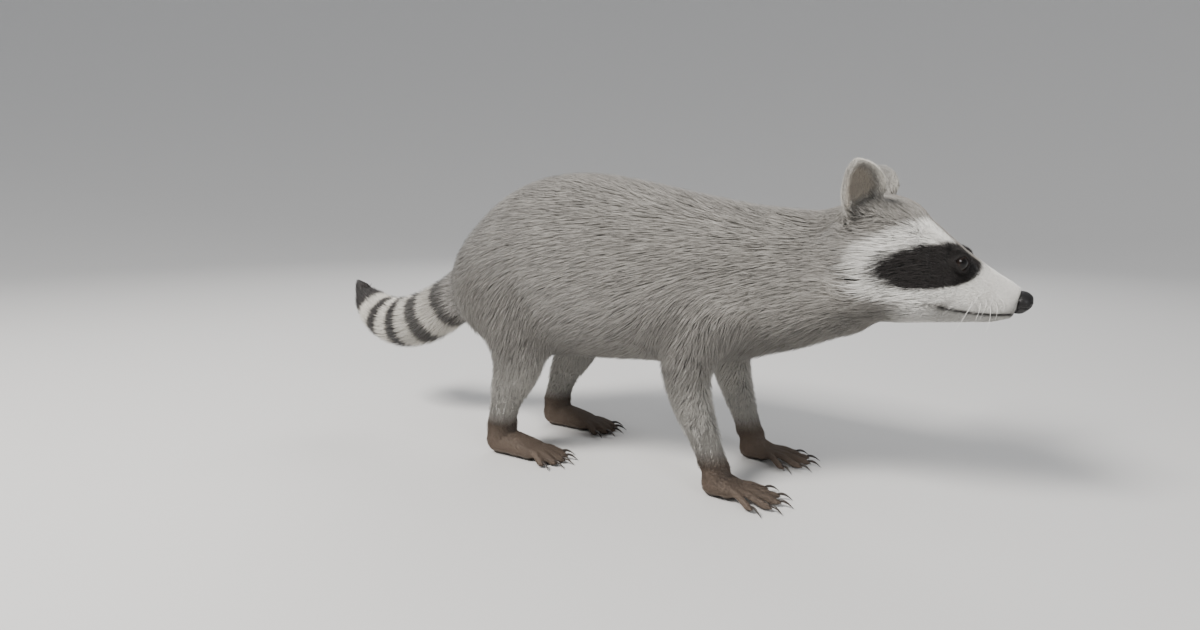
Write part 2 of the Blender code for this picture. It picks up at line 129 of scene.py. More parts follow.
def flat_to(way, normals):
    """Ways laid into the surface that has these normals."""
    return unit(way - dot(way, normals)[:, None] * normals)


def in_head(p):
    """Places as along the muzzle, out from the middle plane, and up, from between the eyes."""
    rel = (p - between_eyes) / head_size
    return rel @ head_forward, np.abs(rel[..., 1]), rel @ head_up


# ---------------------------------------------------------------- mesh helpers
def read_vertices(mesh):
    out = np.empty(len(mesh.vertices) * 3)
    mesh.vertices.foreach_get("co", out)
    return out.reshape(-1, 3)


def read_normals(mesh):
    out = np.empty(len(mesh.vertices) * 3)
    mesh.vertex_normals.foreach_get("vector", out)
    return out.reshape(-1, 3)


def write_vertices(mesh, places):
    mesh.vertices.foreach_set("co", places.astype(np.float32).ravel())
    mesh.update()


def add_field(mesh, name, kind, values):
    """Keeps a value at each vertex, for the materials to read."""
    slot = {"FLOAT_COLOR": "color", "FLOAT_VECTOR": "vector", "FLOAT": "value"}[kind]
    field = mesh.attributes.new(name, kind, "POINT")
    field.data.foreach_set(slot, values.astype(np.float32).ravel())


def opaque(colour):
    return np.concatenate((colour, np.ones(colour.shape[:-1] + (1,))), axis=-1)


def shade_smooth(mesh):
    mesh.polygons.foreach_set("use_smooth", np.ones(len(mesh.polygons), dtype=bool))


def apply_modifier(obj, kind, **settings):
    bpy.context.view_layer.objects.active = obj
    modifier = obj.modifiers.new(kind.lower(), kind)
    for key, value in settings.items():
        setattr(modifier, key, value)
    bpy.ops.object.modifier_apply(modifier=modifier.name)


def swelled_copy(node, swell):
    """A copy of a solid with its seams merged, swelled enough to meet its neighbours."""
    bm = bmesh.new()
    bm.from_mesh(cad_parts[node].data)
    bmesh.ops.remove_doubles(bm, verts=bm.verts, dist=1e-6)
    bm.normal_update()
    places = [v.co + v.normal * swell for v in bm.verts]
    for v, place in zip(bm.verts, places):
        v.co = place
    mesh = bpy.data.meshes.new(node + "_copy")
    bm.to_mesh(mesh)
    bm.free()
    obj = bpy.data.objects.new(node + "_copy", mesh)
    bpy.context.collection.objects.link(obj)
    return obj


def join_pieces(pieces):
    bpy.ops.object.select_all(action="DESELECT")
    for piece in pieces:
        piece.select_set(True)
    bpy.context.view_layer.objects.active = pieces[0]
    bpy.ops.object.join()
    return bpy.context.object


def refine(obj, chosen):
    """Splits the faces whose middles are chosen."""
    mesh = obj.data
    centres = np.empty(len(mesh.polygons) * 3)
    mesh.polygons.foreach_get("center", centres)
    mask = chosen(centres.reshape(-1, 3))
    bpy.context.view_layer.objects.active = obj
    bpy.ops.object.mode_set(mode="EDIT")
    bpy.ops.mesh.select_mode(type="FACE")
    bpy.ops.mesh.select_all(action="DESELECT")
    bpy.ops.object.mode_set(mode="OBJECT")
    mesh.polygons.foreach_set("select", mask)
    bpy.ops.object.mode_set(mode="EDIT")
    bpy.ops.mesh.subdivide(number_cuts=1)
    bpy.ops.object.mode_set(mode="OBJECT")


def thin_out(obj, keep, ratio):
    """Decimates obj, least where keep is high."""
    group = obj.vertex_groups.new(name="thin")
    weights = np.round(1 - keep, 2)
    for value in np.unique(weights):
        group.add(np.nonzero(weights == value)[0].tolist(), float(value), "REPLACE")
    apply_modifier(obj, "DECIMATE", ratio=ratio, vertex_group="thin", vertex_group_factor=1.0)
    obj.vertex_groups.clear()


class Web:
    """A mesh's vertices and their neighbours, for smoothing fields over its surface."""

    def __init__(self, mesh):
        ends = np.empty(len(mesh.edges) * 2, dtype=np.int64)
        mesh.edges.foreach_get("vertices", ends)
        self.link(len(mesh.vertices), ends.reshape(-1, 2))

    def link(self, count, ends):
        self.count, self.ends = count, ends
        self.here = np.concatenate((ends[:, 0], ends[:, 1]))
        self.there = np.concatenate((ends[:, 1], ends[:, 0]))
        self.degree = np.maximum(np.bincount(self.here, minlength=self.count), 1)

    def average(self, field):
        if field.ndim == 1:
            return np.bincount(self.here, field[self.there], self.count) / self.degree
        return np.stack([self.average(field[:, i]) for i in range(field.shape[1])], axis=1)

    def settle(self, field, turns, pull=0.6):
        """Draws each vertex towards the mean of its neighbours, a number of times."""
        pull = np.asarray(pull)
        if field.ndim == 2 and pull.ndim == 1:
            pull = pull[:, None]
        for _ in range(turns):
            field = field + (self.average(field) - field) * pull
        return field

    def film(self, field, share, turns):
        """Draws the part of the surface where share is high as flat as a soap film."""
        inside = share > 0.001
        kept = np.zeros(self.count, dtype=bool)
        kept[self.ends[inside[self.ends].any(axis=1)]] = True
        new = np.cumsum(kept) - 1
        part = object.__new__(Web)
        part.link(int(kept.sum()), new[self.ends[kept[self.ends].all(axis=1)]])
        field = field.copy()
        field[kept] = part.settle(field[kept], turns, 0.9 * share[kept])
        return field


# ---------------------------------------------------------------- material helpers
def new_material(name, colour, roughness, specular=0.3):
    material = bpy.data.materials.new(name)
    material.use_nodes = True
    shader = material.node_tree.nodes["Principled BSDF"]
    shader.inputs["Base Color"].default_value = (*colour, 1)
    shader.inputs["Roughness"].default_value = roughness
    shader.inputs["Specular IOR Level"].default_value = specular
    return material, material.node_tree, shader


def add_node(tree, kind, **settings):
    node = tree.nodes.new(kind)
    for key, value in settings.items():
        if key in node.inputs:
            node.inputs[key].default_value = value
        else:
            setattr(node, key, value)
    return node


def field_node(tree, name="coat_tint"):
    return add_node(tree, "ShaderNodeAttribute", attribute_name=name)


def object_texture(tree, kind, **settings):
    """A texture laid by the object's own coordinates."""
    coordinates = add_node(tree, "ShaderNodeTexCoord")
    texture = add_node(tree, kind, **settings)
    tree.links.new(coordinates.outputs["Object"], texture.inputs["Vector"])
    return texture


def add_ramp(tree, share, stops):
    """A colour ramp fed with a share, with a colour at each of its stops."""
    ramp = add_node(tree, "ShaderNodeValToRGB")
    elements = ramp.color_ramp.elements
    for number, (place, colour) in enumerate(stops):
        stop = elements[number] if number < 2 else elements.new(place)
        stop.position, stop.color = place, (*colour, 1)
    tree.links.new(share, ramp.inputs["Fac"])
    return ramp.outputs["Color"]


def add_bump(tree, shader, height, strength, distance):
    bump = add_node(tree, "ShaderNodeBump", Strength=strength, Distance=distance)
    tree.links.new(height, bump.inputs["Height"])
    tree.links.new(bump.outputs["Normal"], shader.inputs["Normal"])


def scaled_colour(tree, colour, factor):
    node = add_node(tree, "ShaderNodeVectorMath", operation="SCALE")
    tree.links.new(colour, node.inputs[0])
    tree.links.new(factor, node.inputs["Scale"])
    return node.outputs["Vector"]


def calculated(tree, kind, operation, first, second):
    """The result of a maths node whose second input is a socket or a number."""
    node = add_node(tree, kind, operation=operation)
    tree.links.new(first, node.inputs[0])
    if isinstance(second, float):
        node.inputs[1].default_value = second
    else:
        tree.links.new(second, node.inputs[1])
    return node.outputs[0]


# ---------------------------------------------------------------- stage
FLOOR_SIZE = 28
FLAT_FLOOR = 3.0
SOFTBOXES = (
    # name, place, target, size, watts, tint
    ("key", (-0.75, -1.75, 2.1), (0, 0, 0.15), (0.8, 0.8), 122, (1.0, 0.975, 0.94)),
    ("fill", (2.2, -1.6, 1.2), (0.1, 0, 0.18), (0.75, 0.75), 18, (0.96, 0.98, 1.0)),
    ("rim", (-0.6, 1.9, 1.7), (0, 0, 0.2), (1.4, 0.8), 20, (1, 1, 1)),
)
CAMERA_HEIGHT = 0.286
CAMERA_TILT = math.radians(9)
CAMERA_HEADING = (-0.478, 0.878)


def make_floor():
    """A pale floor that curves up far away, so that no edge shows."""
    bpy.ops.mesh.primitive_grid_add(x_subdivisions=160, y_subdivisions=160, size=FLOOR_SIZE)
    floor = bpy.context.object
    floor.name = "studio_floor"
    v = read_vertices(floor.data)
    reach = np.linalg.norm(v[:, :2], axis=1)
    v[:, 2] = 0.16 * np.maximum(reach - FLAT_FLOOR, 0) ** 1.7
    write_vertices(floor.data, v)
    shade_smooth(floor.data)
    paint, _, _ = new_material("floor_paint", (0.66, 0.65, 0.635), 0.9, 0.1)
    floor.data.materials.append(paint)


def make_lights():
    world = bpy.data.worlds.new("studio_air")
    world.use_nodes = True
    air = world.node_tree.nodes["Background"]
    air.inputs["Color"].default_value = (0.86, 0.89, 0.94, 1)
    air.inputs["Strength"].default_value = 0.64
    bpy.context.scene.world = world
    for name, place, target, size, watts, tint in SOFTBOXES:
        bpy.ops.object.light_add(type="AREA", location=place)
        lamp = bpy.context.object
        lamp.name = name
        lamp.data.shape = "RECTANGLE"
        lamp.data.size, lamp.data.size_y = size
        lamp.data.energy = watts
        lamp.data.color = tint
        way = Vector(target) - lamp.location
        lamp.rotation_euler = way.to_track_quat("-Z", "Y").to_euler()


def make_camera():
    place = (fore_foot_x + 0.767 * CAMERA_HEIGHT, -2.484 * CAMERA_HEIGHT, CAMERA_HEIGHT)
    bpy.ops.object.camera_add(location=place)
    camera = bpy.context.object
    camera.name = "camera"
    level = math.cos(CAMERA_TILT)
    way = Vector((CAMERA_HEADING[0] * level, CAMERA_HEADING[1] * level, -math.sin(CAMERA_TILT)))
    camera.rotation_euler = way.to_track_quat("-Z", "Y").to_euler()
    camera.data.lens = 21.8
    camera.data.clip_start = 0.02
    bpy.context.scene.camera = camera


make_camera()
make_floor()
make_lights()

# ---------------------------------------------------------------- the skin
SKIN_VOXEL = 0.0016
SEAM_OVERLAP = 0.00035
THICKEST = 0.08
DEEPEST_SHARE = 0.27  # of the body's thickness, which the coat may take off one side
SINKING_STEPS = 6
FLESH = ["head", "neck", "trunk", "tail_base", "tail_middle", "tail_tip"]
FLESH += [f"ear_{side}" for side in SIDES]
FLESH += [f"{foot}{part}_{side}" for foot in FEET for part in ("leg", "paw") for side in SIDES]
FILLING = ["nose"] + [f"eye_{side}" for side in SIDES]
LABELS = {name: number for number, name in enumerate(FLESH + FILLING)}


def belongs(labels, *starts):
    """Which labels are those of solids whose names start so."""
    return np.isin(labels, [number for name, number in LABELS.items() if name.startswith(starts)])


def nearest_labels(places):
    """Which solid each place belongs to."""
    corners, faces, owners = [], [], []
    for name, number in LABELS.items():
        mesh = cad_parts[name].data
        base = len(corners)
        corners.extend(v.co.copy() for v in mesh.vertices)
        for face in mesh.polygons:
            faces.append([base + i for i in face.vertices])
            owners.append(number)
    tree = BVHTree.FromPolygons(corners, faces)
    hits = [tree.find_nearest(place)[2] for place in places.tolist()]
    return np.array(owners)[np.array(hits)]


def ruff_share(p):
    """How far each place is within the cheek ruff, whose skin is drawn flat."""
    along, out, up = in_head(p)
    reach = ((along + 0.058) / 0.052) ** 2 + ((out - 0.053) / 0.045) ** 2 + ((up + 0.038) / 0.047) ** 2
    return smoothstep(1.15, 0.80, np.sqrt(reach))


def coat_depth(places, labels):
    """How far the fur's surface stands off the skin."""
    along, out, up = in_head(places)
    back = smoothstep(0.012, -0.070, along)
    low = smoothstep(-0.010, -0.045, up)
    cheek = smoothstep(0.030, 0.062, out) * smoothstep(-0.012, -0.045, along)
    head = 1.0 + 5.0 * back + 6.0 * back * low + 8.0 * cheek * smoothstep(0.025, -0.005, up)
    leg = 1.6 + 11.5 * smoothstep(0.040, 0.150, places[:, 2])
    millimetres = np.select(
        [belongs(labels, "neck"), belongs(labels, "head", "nose", "eye"), belongs(labels, "ear"),
         belongs(labels, "foreleg", "hindleg"), belongs(labels, "forepaw", "hindpaw"),
         belongs(labels, "tail")],
        [13.0, head, 0.9, leg, 0.7, 18.0], default=15.0)
    return millimetres * MM


def body_thickness(skin, places):
    """How thick the body is under each place."""
    tree = BVHTree.FromObject(skin, bpy.context.evaluated_depsgraph_get())
    normals = read_normals(skin.data)
    starts = (places - normals * 1e-4).tolist()
    ways = (-normals).tolist()
    reach = [tree.ray_cast(start, way, THICKEST)[3] or THICKEST for start, way in zip(starts, ways)]
    return np.array(reach)


def make_skin_base():
    """The solids' flesh in one mesh, sunk by the coat's depth all round, and the coat's own surface."""
    skin = join_pieces([swelled_copy(node, SEAM_OVERLAP) for node in FLESH + FILLING])
    skin.name = skin.data.name = "skin"
    apply_modifier(skin, "REMESH", mode="VOXEL", voxel_size=SKIN_VOXEL)
    mesh = skin.data
    web = Web(mesh)
    places = read_vertices(mesh)
    labels = nearest_labels(places)
    fine = web.settle(belongs(labels, "ear", "forepaw", "hindpaw", "nose").astype(float), 20)
    head = web.settle(belongs(labels, "head", "eye").astype(float), 12)
    places = web.settle(places, 4)
    shell = BVHTree.FromPolygons(places.tolist(), [list(face.vertices) for face in mesh.polygons])
    places = web.film(places, ruff_share(places), 900)
    places = web.settle(places, 70, 0.6 * np.clip(1 - fine - head, 0, 1))
    places = web.settle(places, 16, 0.6 * np.clip(1 - fine, 0, 1))
    write_vertices(mesh, places)
    thickness = body_thickness(skin, places)
    depth = web.settle(coat_depth(places, labels), 45)
    depth = web.settle(np.minimum(depth, DEEPEST_SHARE * thickness), 12)
    for _ in range(SINKING_STEPS):
        places = places - read_normals(mesh) * (depth / SINKING_STEPS)[:, None]
        places = web.settle(places, 2, 0.4 * np.clip(1 - fine, 0, 1))
        write_vertices(mesh, places)
    return skin, web, labels, shell


# ---------------------------------------------------------------- lids and mouth
EYE_HALF_WIDTH = 50  # degrees round the eye's middle
EYE_UPPER = 38
EYE_LOWER = 34
EYE_SLANT = 0.16
LID_BACK = 1.4 * MM  # how far the lids' inner edge lies under the eye's surface
LID_OVER = 1.15 * MM
LID_BULGE = 0.5 * MM
LID_COVER = 1.0 * MM
EYE_REACH = 0.014  # the lids' edge lies within this distance of the eye's middle


def eye_axes(side):
    """The way an eye looks, and the ways to its rear corner and up its middle."""
    sign = SIDES[side]
    gaze = unit(head_forward * 0.76 + head_up * 0.22 + np.array((0, 0.61 * sign, 0)))
    rear = unit(np.cross(head_up, gaze)) * sign
    return gaze, rear, unit(head_up - dot(head_up, gaze) * gaze)


def eye_opening(p, side):
    """1 on the edge of the lids, less inside the opening and more outside, and the distance."""
    gaze, rear, upward = eye_axes(side)
    rel = p - eye_centre[side]
    reach = np.linalg.norm(rel, axis=-1)
    ahead = dot(rel, gaze)
    across = np.degrees(np.arctan2(dot(rel, rear), ahead))
    height = np.degrees(np.arctan2(dot(rel, upward), ahead)) - EYE_SLANT * across
    limit = np.where(height > 0, EYE_UPPER, EYE_LOWER)
    edge = (across / EYE_HALF_WIDTH) ** 2 + (np.abs(height) / limit) ** 1.35
    return np.where(ahead > 0, np.minimum(edge, 9.0), 9.0), reach


def lid_distance(p):
    """1 on the edge of the nearer eye's lids, more outside it, and at least 9 away from the eyes."""
    openings = [eye_opening(p, side) for side in SIDES]
    return np.min([edge + 9 * (reach > EYE_REACH) for edge, reach in openings], axis=0)


def shape_lids(places):
    for side in SIDES:
        edge, reach = eye_opening(places, side)
        rim = mix(eye_radius - LID_BACK, eye_radius + LID_OVER, smoothstep(0.96, 1.16, edge))
        rim = rim + LID_BULGE * smoothstep(1.1, 1.5, edge)
        hold = smoothstep(3.0, 1.5, edge) * smoothstep(0.030, 0.022, reach)
        target = mix(reach, rim, hold)
        cover = eye_radius + LID_COVER * smoothstep(9.0, 1.2, edge)
        target = np.where(edge > 1.16, np.maximum(target, cover), target)
        rel = places - eye_centre[side]
        places = eye_centre[side] + rel * (target / np.maximum(reach, 1e-6))[:, None]
    return places


MOUTH = (
    # along the muzzle and up, from between the eyes
    (0.052, -0.0245),
    (0.040, -0.0290),
    (0.028, -0.0325),
    (0.012, -0.0345),
    (0.002, -0.0350),
)


def mouth_height(along):
    line = np.array(MOUTH)[::-1]
    return np.interp(along, line[:, 0], line[:, 1])


def shape_mouth(places, normals):
    along, _, up = in_head(places)
    above = up - mouth_height(along)
    within = smoothstep(-0.002, 0.006, along) * smoothstep(0.056, 0.050, along)
    groove = np.exp(-((above / 0.0011) ** 2)) * within * 1.5
    jaw = smoothstep(0.0005, -0.0012, above) * smoothstep(-0.016, -0.006, above) * within * 1.1
    return places - normals * ((groove + jaw) * MM)[:, None]


def nose_reach(p):
    """1 on the nose pad's surface, less inside it and more outside."""
    rel = p - nose_centre
    parts = np.stack((rel @ head_forward, rel[:, 1], rel @ head_up), axis=1) / nose_radii
    return np.linalg.norm(parts, axis=1)


def shape_nose_bed(places):
    """Draws the skin that the nose pad covers well inside it."""
    rel = places - nose_centre
    ahead, up = rel @ head_forward, rel @ head_up
    reach = nose_reach(places)
    front = smoothstep(-0.50, -0.15, ahead / nose_radii[0]) * smoothstep(1.5, 1.15, reach)
    low = smoothstep(-0.2, -0.9, up / nose_radii[2])
    shrunk = np.minimum(reach, 0.52 - 0.10 * low)
    return nose_centre + rel * mix(1.0, shrunk / np.maximum(reach, 1e-6), front)[:, None]


# ---------------------------------------------------------------- ears
def ear_axes(side):
    """The way from an ear's root to its tip, and the way its cup faces."""
    sign = SIDES[side]
    return np.array((-0.159, 0.376 * sign, 0.913)), np.array((0.825, 0.559 * sign, -0.087))


def ear_places(p, side):
    """Places seen from an ear's middle: out of its cup, across it, and up to its tip."""
    upward, facing = ear_axes(side)
    across = np.cross(upward, facing)
    corners = read_vertices(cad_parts[f"ear_{side}"].data)
    tip = corners[np.argmax(corners @ upward)]
    rel = p - (tip - upward * EAR_HALF_HEIGHT)
    return rel @ facing, rel @ across, rel @ upward


def ear_rise(p):
    """How high each place is over the middle of the ear on its own side."""
    return np.max([ear_places(p, side)[2] - 1.0 * (p[:, 1] * SIDES[side] < 0) for side in SIDES], axis=0)


def ear_reach(p, side, edge=0.0):
    """1 on an ear's outline, less within it, seen along the way that its cup faces."""
    _, across, up = ear_places(p, side)
    return np.hypot(across / (EAR_HALF_WIDTH - edge), up / (EAR_HALF_HEIGHT - edge))


def inside_ear(p, normals):
    """How far each place is within the hollow of an ear."""
    inner = np.zeros(len(p))
    for side in SIDES:
        out, _, up = ear_places(p, side)
        own = smoothstep(1.0, 0.72, ear_reach(p, side, 3 * MM))
        own = own * smoothstep(0.05, 0.45, normals @ ear_axes(side)[1])
        own = own * smoothstep(-0.020, -0.012, up) * (p[:, 1] * SIDES[side] > 0.02)
        inner = np.maximum(inner, own * (np.abs(out) < 0.016))
    return inner


def shape_ears(places, normals):
    deeper = inside_ear(places, normals) * 2.2 * MM
    for side in SIDES:
        mine = deeper * (places[:, 1] * SIDES[side] > 0)
        places = places - mine[:, None] * ear_axes(side)[1]
    return places


def ear_band(p, ahead, beside, top, foot):
    """How far each place is in a band round an ear's root, which fades out between these limits."""
    share = np.zeros(len(p))
    for side in SIDES:
        out, across, up = ear_places(p, side)
        near = smoothstep(*ahead, np.abs(out)) * smoothstep(*beside, np.abs(across))
        level = smoothstep(*top, up) * smoothstep(*foot, up)
        share = np.maximum(share, near * level * (p[:, 1] * SIDES[side] > 0))
    return share


def ear_foot(p):
    """How far each place is where an ear's rim runs into the head."""
    return ear_band(p, (0.024, 0.016), (0.036, 0.028), (-0.006, -0.013), (-0.044, -0.034))


def below_ear(p):
    """How far each place is where the coat parts round the root of an ear."""
    return ear_band(p, (0.046, 0.030), (0.046, 0.030), (-0.012, -0.022), (-0.062, -0.046))


# ---------------------------------------------------------------- soles
PADS = {
    # ahead of the foot's middle, out from it, half length, half width
    "fore": (
        (0.011, -0.0115, 0.0052, 0.0045),
        (0.0145, -0.0040, 0.0055, 0.0042),
        (0.0145, 0.0042, 0.0055, 0.0042),
        (0.0105, 0.0115, 0.0052, 0.0045),
        (-0.0075, -0.0060, 0.0075, 0.0055),
        (-0.0080, 0.0062, 0.0070, 0.0052),
    ),
    "hind": (
        (0.019, -0.0115, 0.0060, 0.0048),
        (0.0225, -0.0040, 0.0062, 0.0044),
        (0.0225, 0.0042, 0.0062, 0.0044),
        (0.0185, 0.0115, 0.0060, 0.0048),
        (0.003, -0.0055, 0.0080, 0.0058),
        (0.001, 0.0068, 0.0075, 0.0052),
        (-0.024, 0.0000, 0.0130, 0.0098),
    ),
}
TOE_PAD_SIZE = (0.0058, 0.0036)
CLAW_TO_TOE_PAD = 0.0115


def pad_share(p):
    """How far each place is on a pad of a sole, and how far it is on a sole at all."""
    reach = np.full(len(p), 9.0)
    for foot, foot_x in (("fore", fore_foot_x), ("hind", hind_foot_x)):
        for side, sign in SIDES.items():
            for ahead, out, long, wide in PADS[foot]:
                away = ((p[:, 0] - foot_x - ahead) / long) ** 2
                away = away + ((p[:, 1] - sign * (FOOT_OUT + out)) / wide) ** 2
                reach = np.minimum(reach, away)
            for number in range(1, 6):
                claw = np.array(middle(f"claw_{foot}_{side}_{number}"))
                way = unit(claw - np.array((foot_x, sign * FOOT_OUT, claw[2])))
                rel = p - (claw - way * CLAW_TO_TOE_PAD)
                along, across = rel @ way, rel[:, 1] * way[0] - rel[:, 0] * way[1]
                reach = np.minimum(reach, (along / TOE_PAD_SIZE[0]) ** 2 + (across / TOE_PAD_SIZE[1]) ** 2)
    return smoothstep(1.25, 0.70, np.sqrt(reach)), smoothstep(0.0065, 0.0030, p[:, 2])


def shape_soles(places, normals):
    """Lifts the skin between the pads."""
    pads, sole = pad_share(places)
    lift = (1 - pads) * sole * smoothstep(-0.35, -0.80, normals[:, 2]) * 1.5 * MM
    return places + lift[:, None] * UPWARD


# ---------------------------------------------------------------- the tail's line
def tail_line():
    rows = np.array([(x + fore_foot_x, 0, z, r) for x, z, r in TAIL_STATIONS])
    share = np.arange(len(rows))
    fine = np.linspace(0, len(rows) - 1, 141)
    rows = np.stack([np.interp(fine, share, rows[:, i]) for i in range(4)], axis=1)
    for _ in range(60):
        rows[1:-1] += 0.5 * ((rows[:-2] + rows[2:]) / 2 - rows[1:-1])
    return rows


TAIL = tail_line()
TAIL_WAYS = unit(np.gradient(TAIL[:, :3], axis=0))
TAIL_SHARE = np.concatenate(([0], np.cumsum(np.linalg.norm(np.diff(TAIL[:, :3], axis=0), axis=1))))
TAIL_LENGTH = TAIL_SHARE[-1]
TAIL_SHARE = TAIL_SHARE / TAIL_LENGTH
TAIL_END = 0.014  # how far the coat closes beyond the tail's line


def tail_share(p):
    """The share of the tail's length that each place has reached, and the way of the tail there."""
    near = np.empty(len(p), dtype=int)
    for start in range(0, len(p), 20000):
        block = p[start:start + 20000, None, :] - TAIL[None, :, :3]
        near[start:start + 20000] = np.argmin(np.sum(block**2, axis=2), axis=1)
    way = TAIL_WAYS[near]
    extra = dot(p - TAIL[near, :3], way) / TAIL_LENGTH
    return TAIL_SHARE[near] + extra, way


def tail_way(reach):
    along = TAIL_SHARE * TAIL_LENGTH
    return unit(np.stack([np.interp(reach, along, TAIL_WAYS[:, i]) for i in range(3)], axis=1))


def tail_place(reach, turn, height):
    """A place over the tail: how far along its line, which way round it, and the share of its coat."""
    along = TAIL_SHARE * TAIL_LENGTH
    x, z, radius = (np.interp(reach, along, TAIL[:, i]) for i in (0, 2, 3))
    past = np.maximum(reach - TAIL_LENGTH, 0)
    ahead = tail_way(reach)
    line = np.stack((x, np.zeros(len(reach)), z), axis=1) + ahead * past[:, None]
    above = np.cross(LEFTWARD, ahead)
    outward = above * np.cos(turn)[:, None] + LEFTWARD * np.sin(turn)[:, None]
    radius = radius * np.clip(1 - past / TAIL_END, 0, 1) ** 0.55
    return line + outward * (radius * height)[:, None], outward


# ---------------------------------------------------------------- markings
GREY = np.array((0.300, 0.285, 0.262))
DARK_GREY = np.array((0.150, 0.140, 0.128))
# The lower legs' own paler grey, made lighter still by painted light that makes up for the shade on their
# upright sides.
LEG_GREY_AND_PAINTED_LIGHT = np.array((0.440, 0.424, 0.392))
WHITE = np.array((0.780, 0.765, 0.730))
CREAM = np.array((0.640, 0.610, 0.550))
BLACK = np.array((0.018, 0.015, 0.014))
BROWN = np.array((0.138, 0.104, 0.080))
BELLY = np.array((0.270, 0.250, 0.222))
EAR_BACK = mix(GREY, CREAM, 0.15)
EAR_INSIDE = mix(GREY, CREAM, 0.55) * np.array((1.0, 0.93, 0.86))
STRIPE = mix(GREY, BROWN, 0.4)
MASK_SIZE = (0.034, 0.0165)
RING_SIZE = (0.0500, 0.0300)
MASK_BEHIND_EYES = 0.0140
MASK_BELOW_EYES = 0.0035
RING_OVER_MASK = 0.002
TAIL_RINGS = (
    # where a dark ring starts and ends, and how soft its first edge is
    (0.285, 0.368, 0.050),
    (0.463, 0.542, 0.010),
    (0.621, 0.684, 0.010),
    (0.755, 0.818, 0.010),
    (0.889, 1.200, 0.010),
)
# The groups of solids whose coat is alike, and how the names of their nodes start.
GROUPS = {
    "head": ("head", "nose", "eye"), "ear": ("ear",), "neck": ("neck",), "trunk": ("trunk",),
    "tail": ("tail",), "foreleg": ("foreleg",), "hindleg": ("hindleg",),
    "forepaw": ("forepaw",), "hindpaw": ("hindpaw",),
}


def ring_colour(share):
    dark = np.zeros(len(share))
    for start, end, soft in TAIL_RINGS:
        ring = smoothstep(start - soft, start + soft, share) * smoothstep(end + 0.01, end - 0.01, share)
        dark = np.maximum(dark, ring)
    pale = blend(GREY, CREAM, smoothstep(0.30, 0.40, share))
    return blend(pale, BLACK * 1.3, dark)


def oval(across, height, size):
    return np.sqrt((across / size[0]) ** 2 + (height / size[1]) ** 2)


def face_colour(p):
    """The head's colour at each place, and how strongly it is grizzled."""
    along, out, up = in_head(p)
    across = (p[:, 0] - between_eyes[0]) / head_size + MASK_BEHIND_EYES
    height = (p[:, 2] - between_eyes[2]) / head_size + MASK_BELOW_EYES
    ring = smoothstep(1.06, 0.94, oval(across, height - RING_OVER_MASK, RING_SIZE))
    muzzle = smoothstep(0.002, 0.014, along)
    chin = smoothstep(-0.032, -0.040, up) * smoothstep(-0.030, -0.005, along)
    white = np.maximum(ring, np.maximum(muzzle, chin))
    stripe = smoothstep(0.0085, 0.0055, out) * smoothstep(0.030, 0.010, along) * (up > -0.012)
    mask = smoothstep(1.07, 0.95, oval(across, height, MASK_SIZE)) * smoothstep(0.004, 0.008, out)
    lips = np.exp(-(((up - mouth_height(along)) / 0.0014) ** 2)) * smoothstep(0.0, 0.006, along)
    face = blend(GREY, DARK_GREY, 0.30 * smoothstep(0.018, 0.004, out))
    face = blend(face, WHITE, white * (1 - 0.85 * stripe))
    face = blend(face, STRIPE, 0.7 * stripe)
    face = blend(face, BLACK, mask)
    face = blend(face, BLACK, np.clip(lips, 0, 1) * (up < -0.018))
    return face, np.clip(1 - white - mask, 0.10, 1)


def body_colour(p):
    _, y, z = p.T
    spine = smoothstep(0.030, 0.004, np.abs(y)) * smoothstep(0.20, 0.25, z)
    body = blend(BELLY, GREY, smoothstep(0.105, 0.150, z))
    return blend(body, DARK_GREY, 0.38 * spine)


def leg_colour(p):
    # Paler down the legs: partly their own paler grey, partly painted light against the shade on their
    # upright sides.
    legs = blend(GREY, LEG_GREY_AND_PAINTED_LIGHT, smoothstep(0.150, 0.095, p[:, 2]))
    return blend(legs, BROWN, smoothstep(0.056, 0.032, p[:, 2]))


def ear_colour(p, normals):
    hollow = inside_ear(p, normals)
    rim = smoothstep(0.80, 0.97, np.min([ear_reach(p, side) for side in SIDES], axis=0))
    return blend(blend(EAR_BACK, EAR_INSIDE, hollow), CREAM, 0.75 * rim * (1 - hollow))


def markings(p, normals, shares):
    """The coat's colour at each place, and how strongly it is grizzled."""
    face, face_grizzle = face_colour(p)
    body, legs, paws = body_colour(p), leg_colour(p), np.tile(BROWN, (len(p), 1))
    colours = {
        "head": face, "ear": ear_colour(p, normals), "neck": body, "trunk": body,
        "tail": ring_colour(tail_share(p)[0]), "foreleg": legs, "hindleg": legs,
        "forepaw": paws, "hindpaw": paws,
    }
    leg_grizzle = 0.45 + 0.55 * smoothstep(0.09, 0.16, p[:, 2])
    strength = {
        "head": face_grizzle, "ear": 0.4, "neck": 1.0, "trunk": 1.0, "tail": 0.12,
        "foreleg": leg_grizzle, "hindleg": leg_grizzle, "forepaw": 0.15, "hindpaw": 0.15,
    }
    colour = sum(colours[name] * shares[name][:, None] for name in GROUPS)
    return colour, sum(strength[name] * shares[name] for name in GROUPS)


# ---------------------------------------------------------------- how the coat lies
def group_shares(labels, web):
    """How far each place is in each of the groups, softened at their borders."""
    shares = {}
    for name, starts in GROUPS.items():
        shares[name] = web.settle(belongs(labels, *starts).astype(float), 10)
    total = sum(shares.values())
    return {name: share / total for name, share in shares.items()}


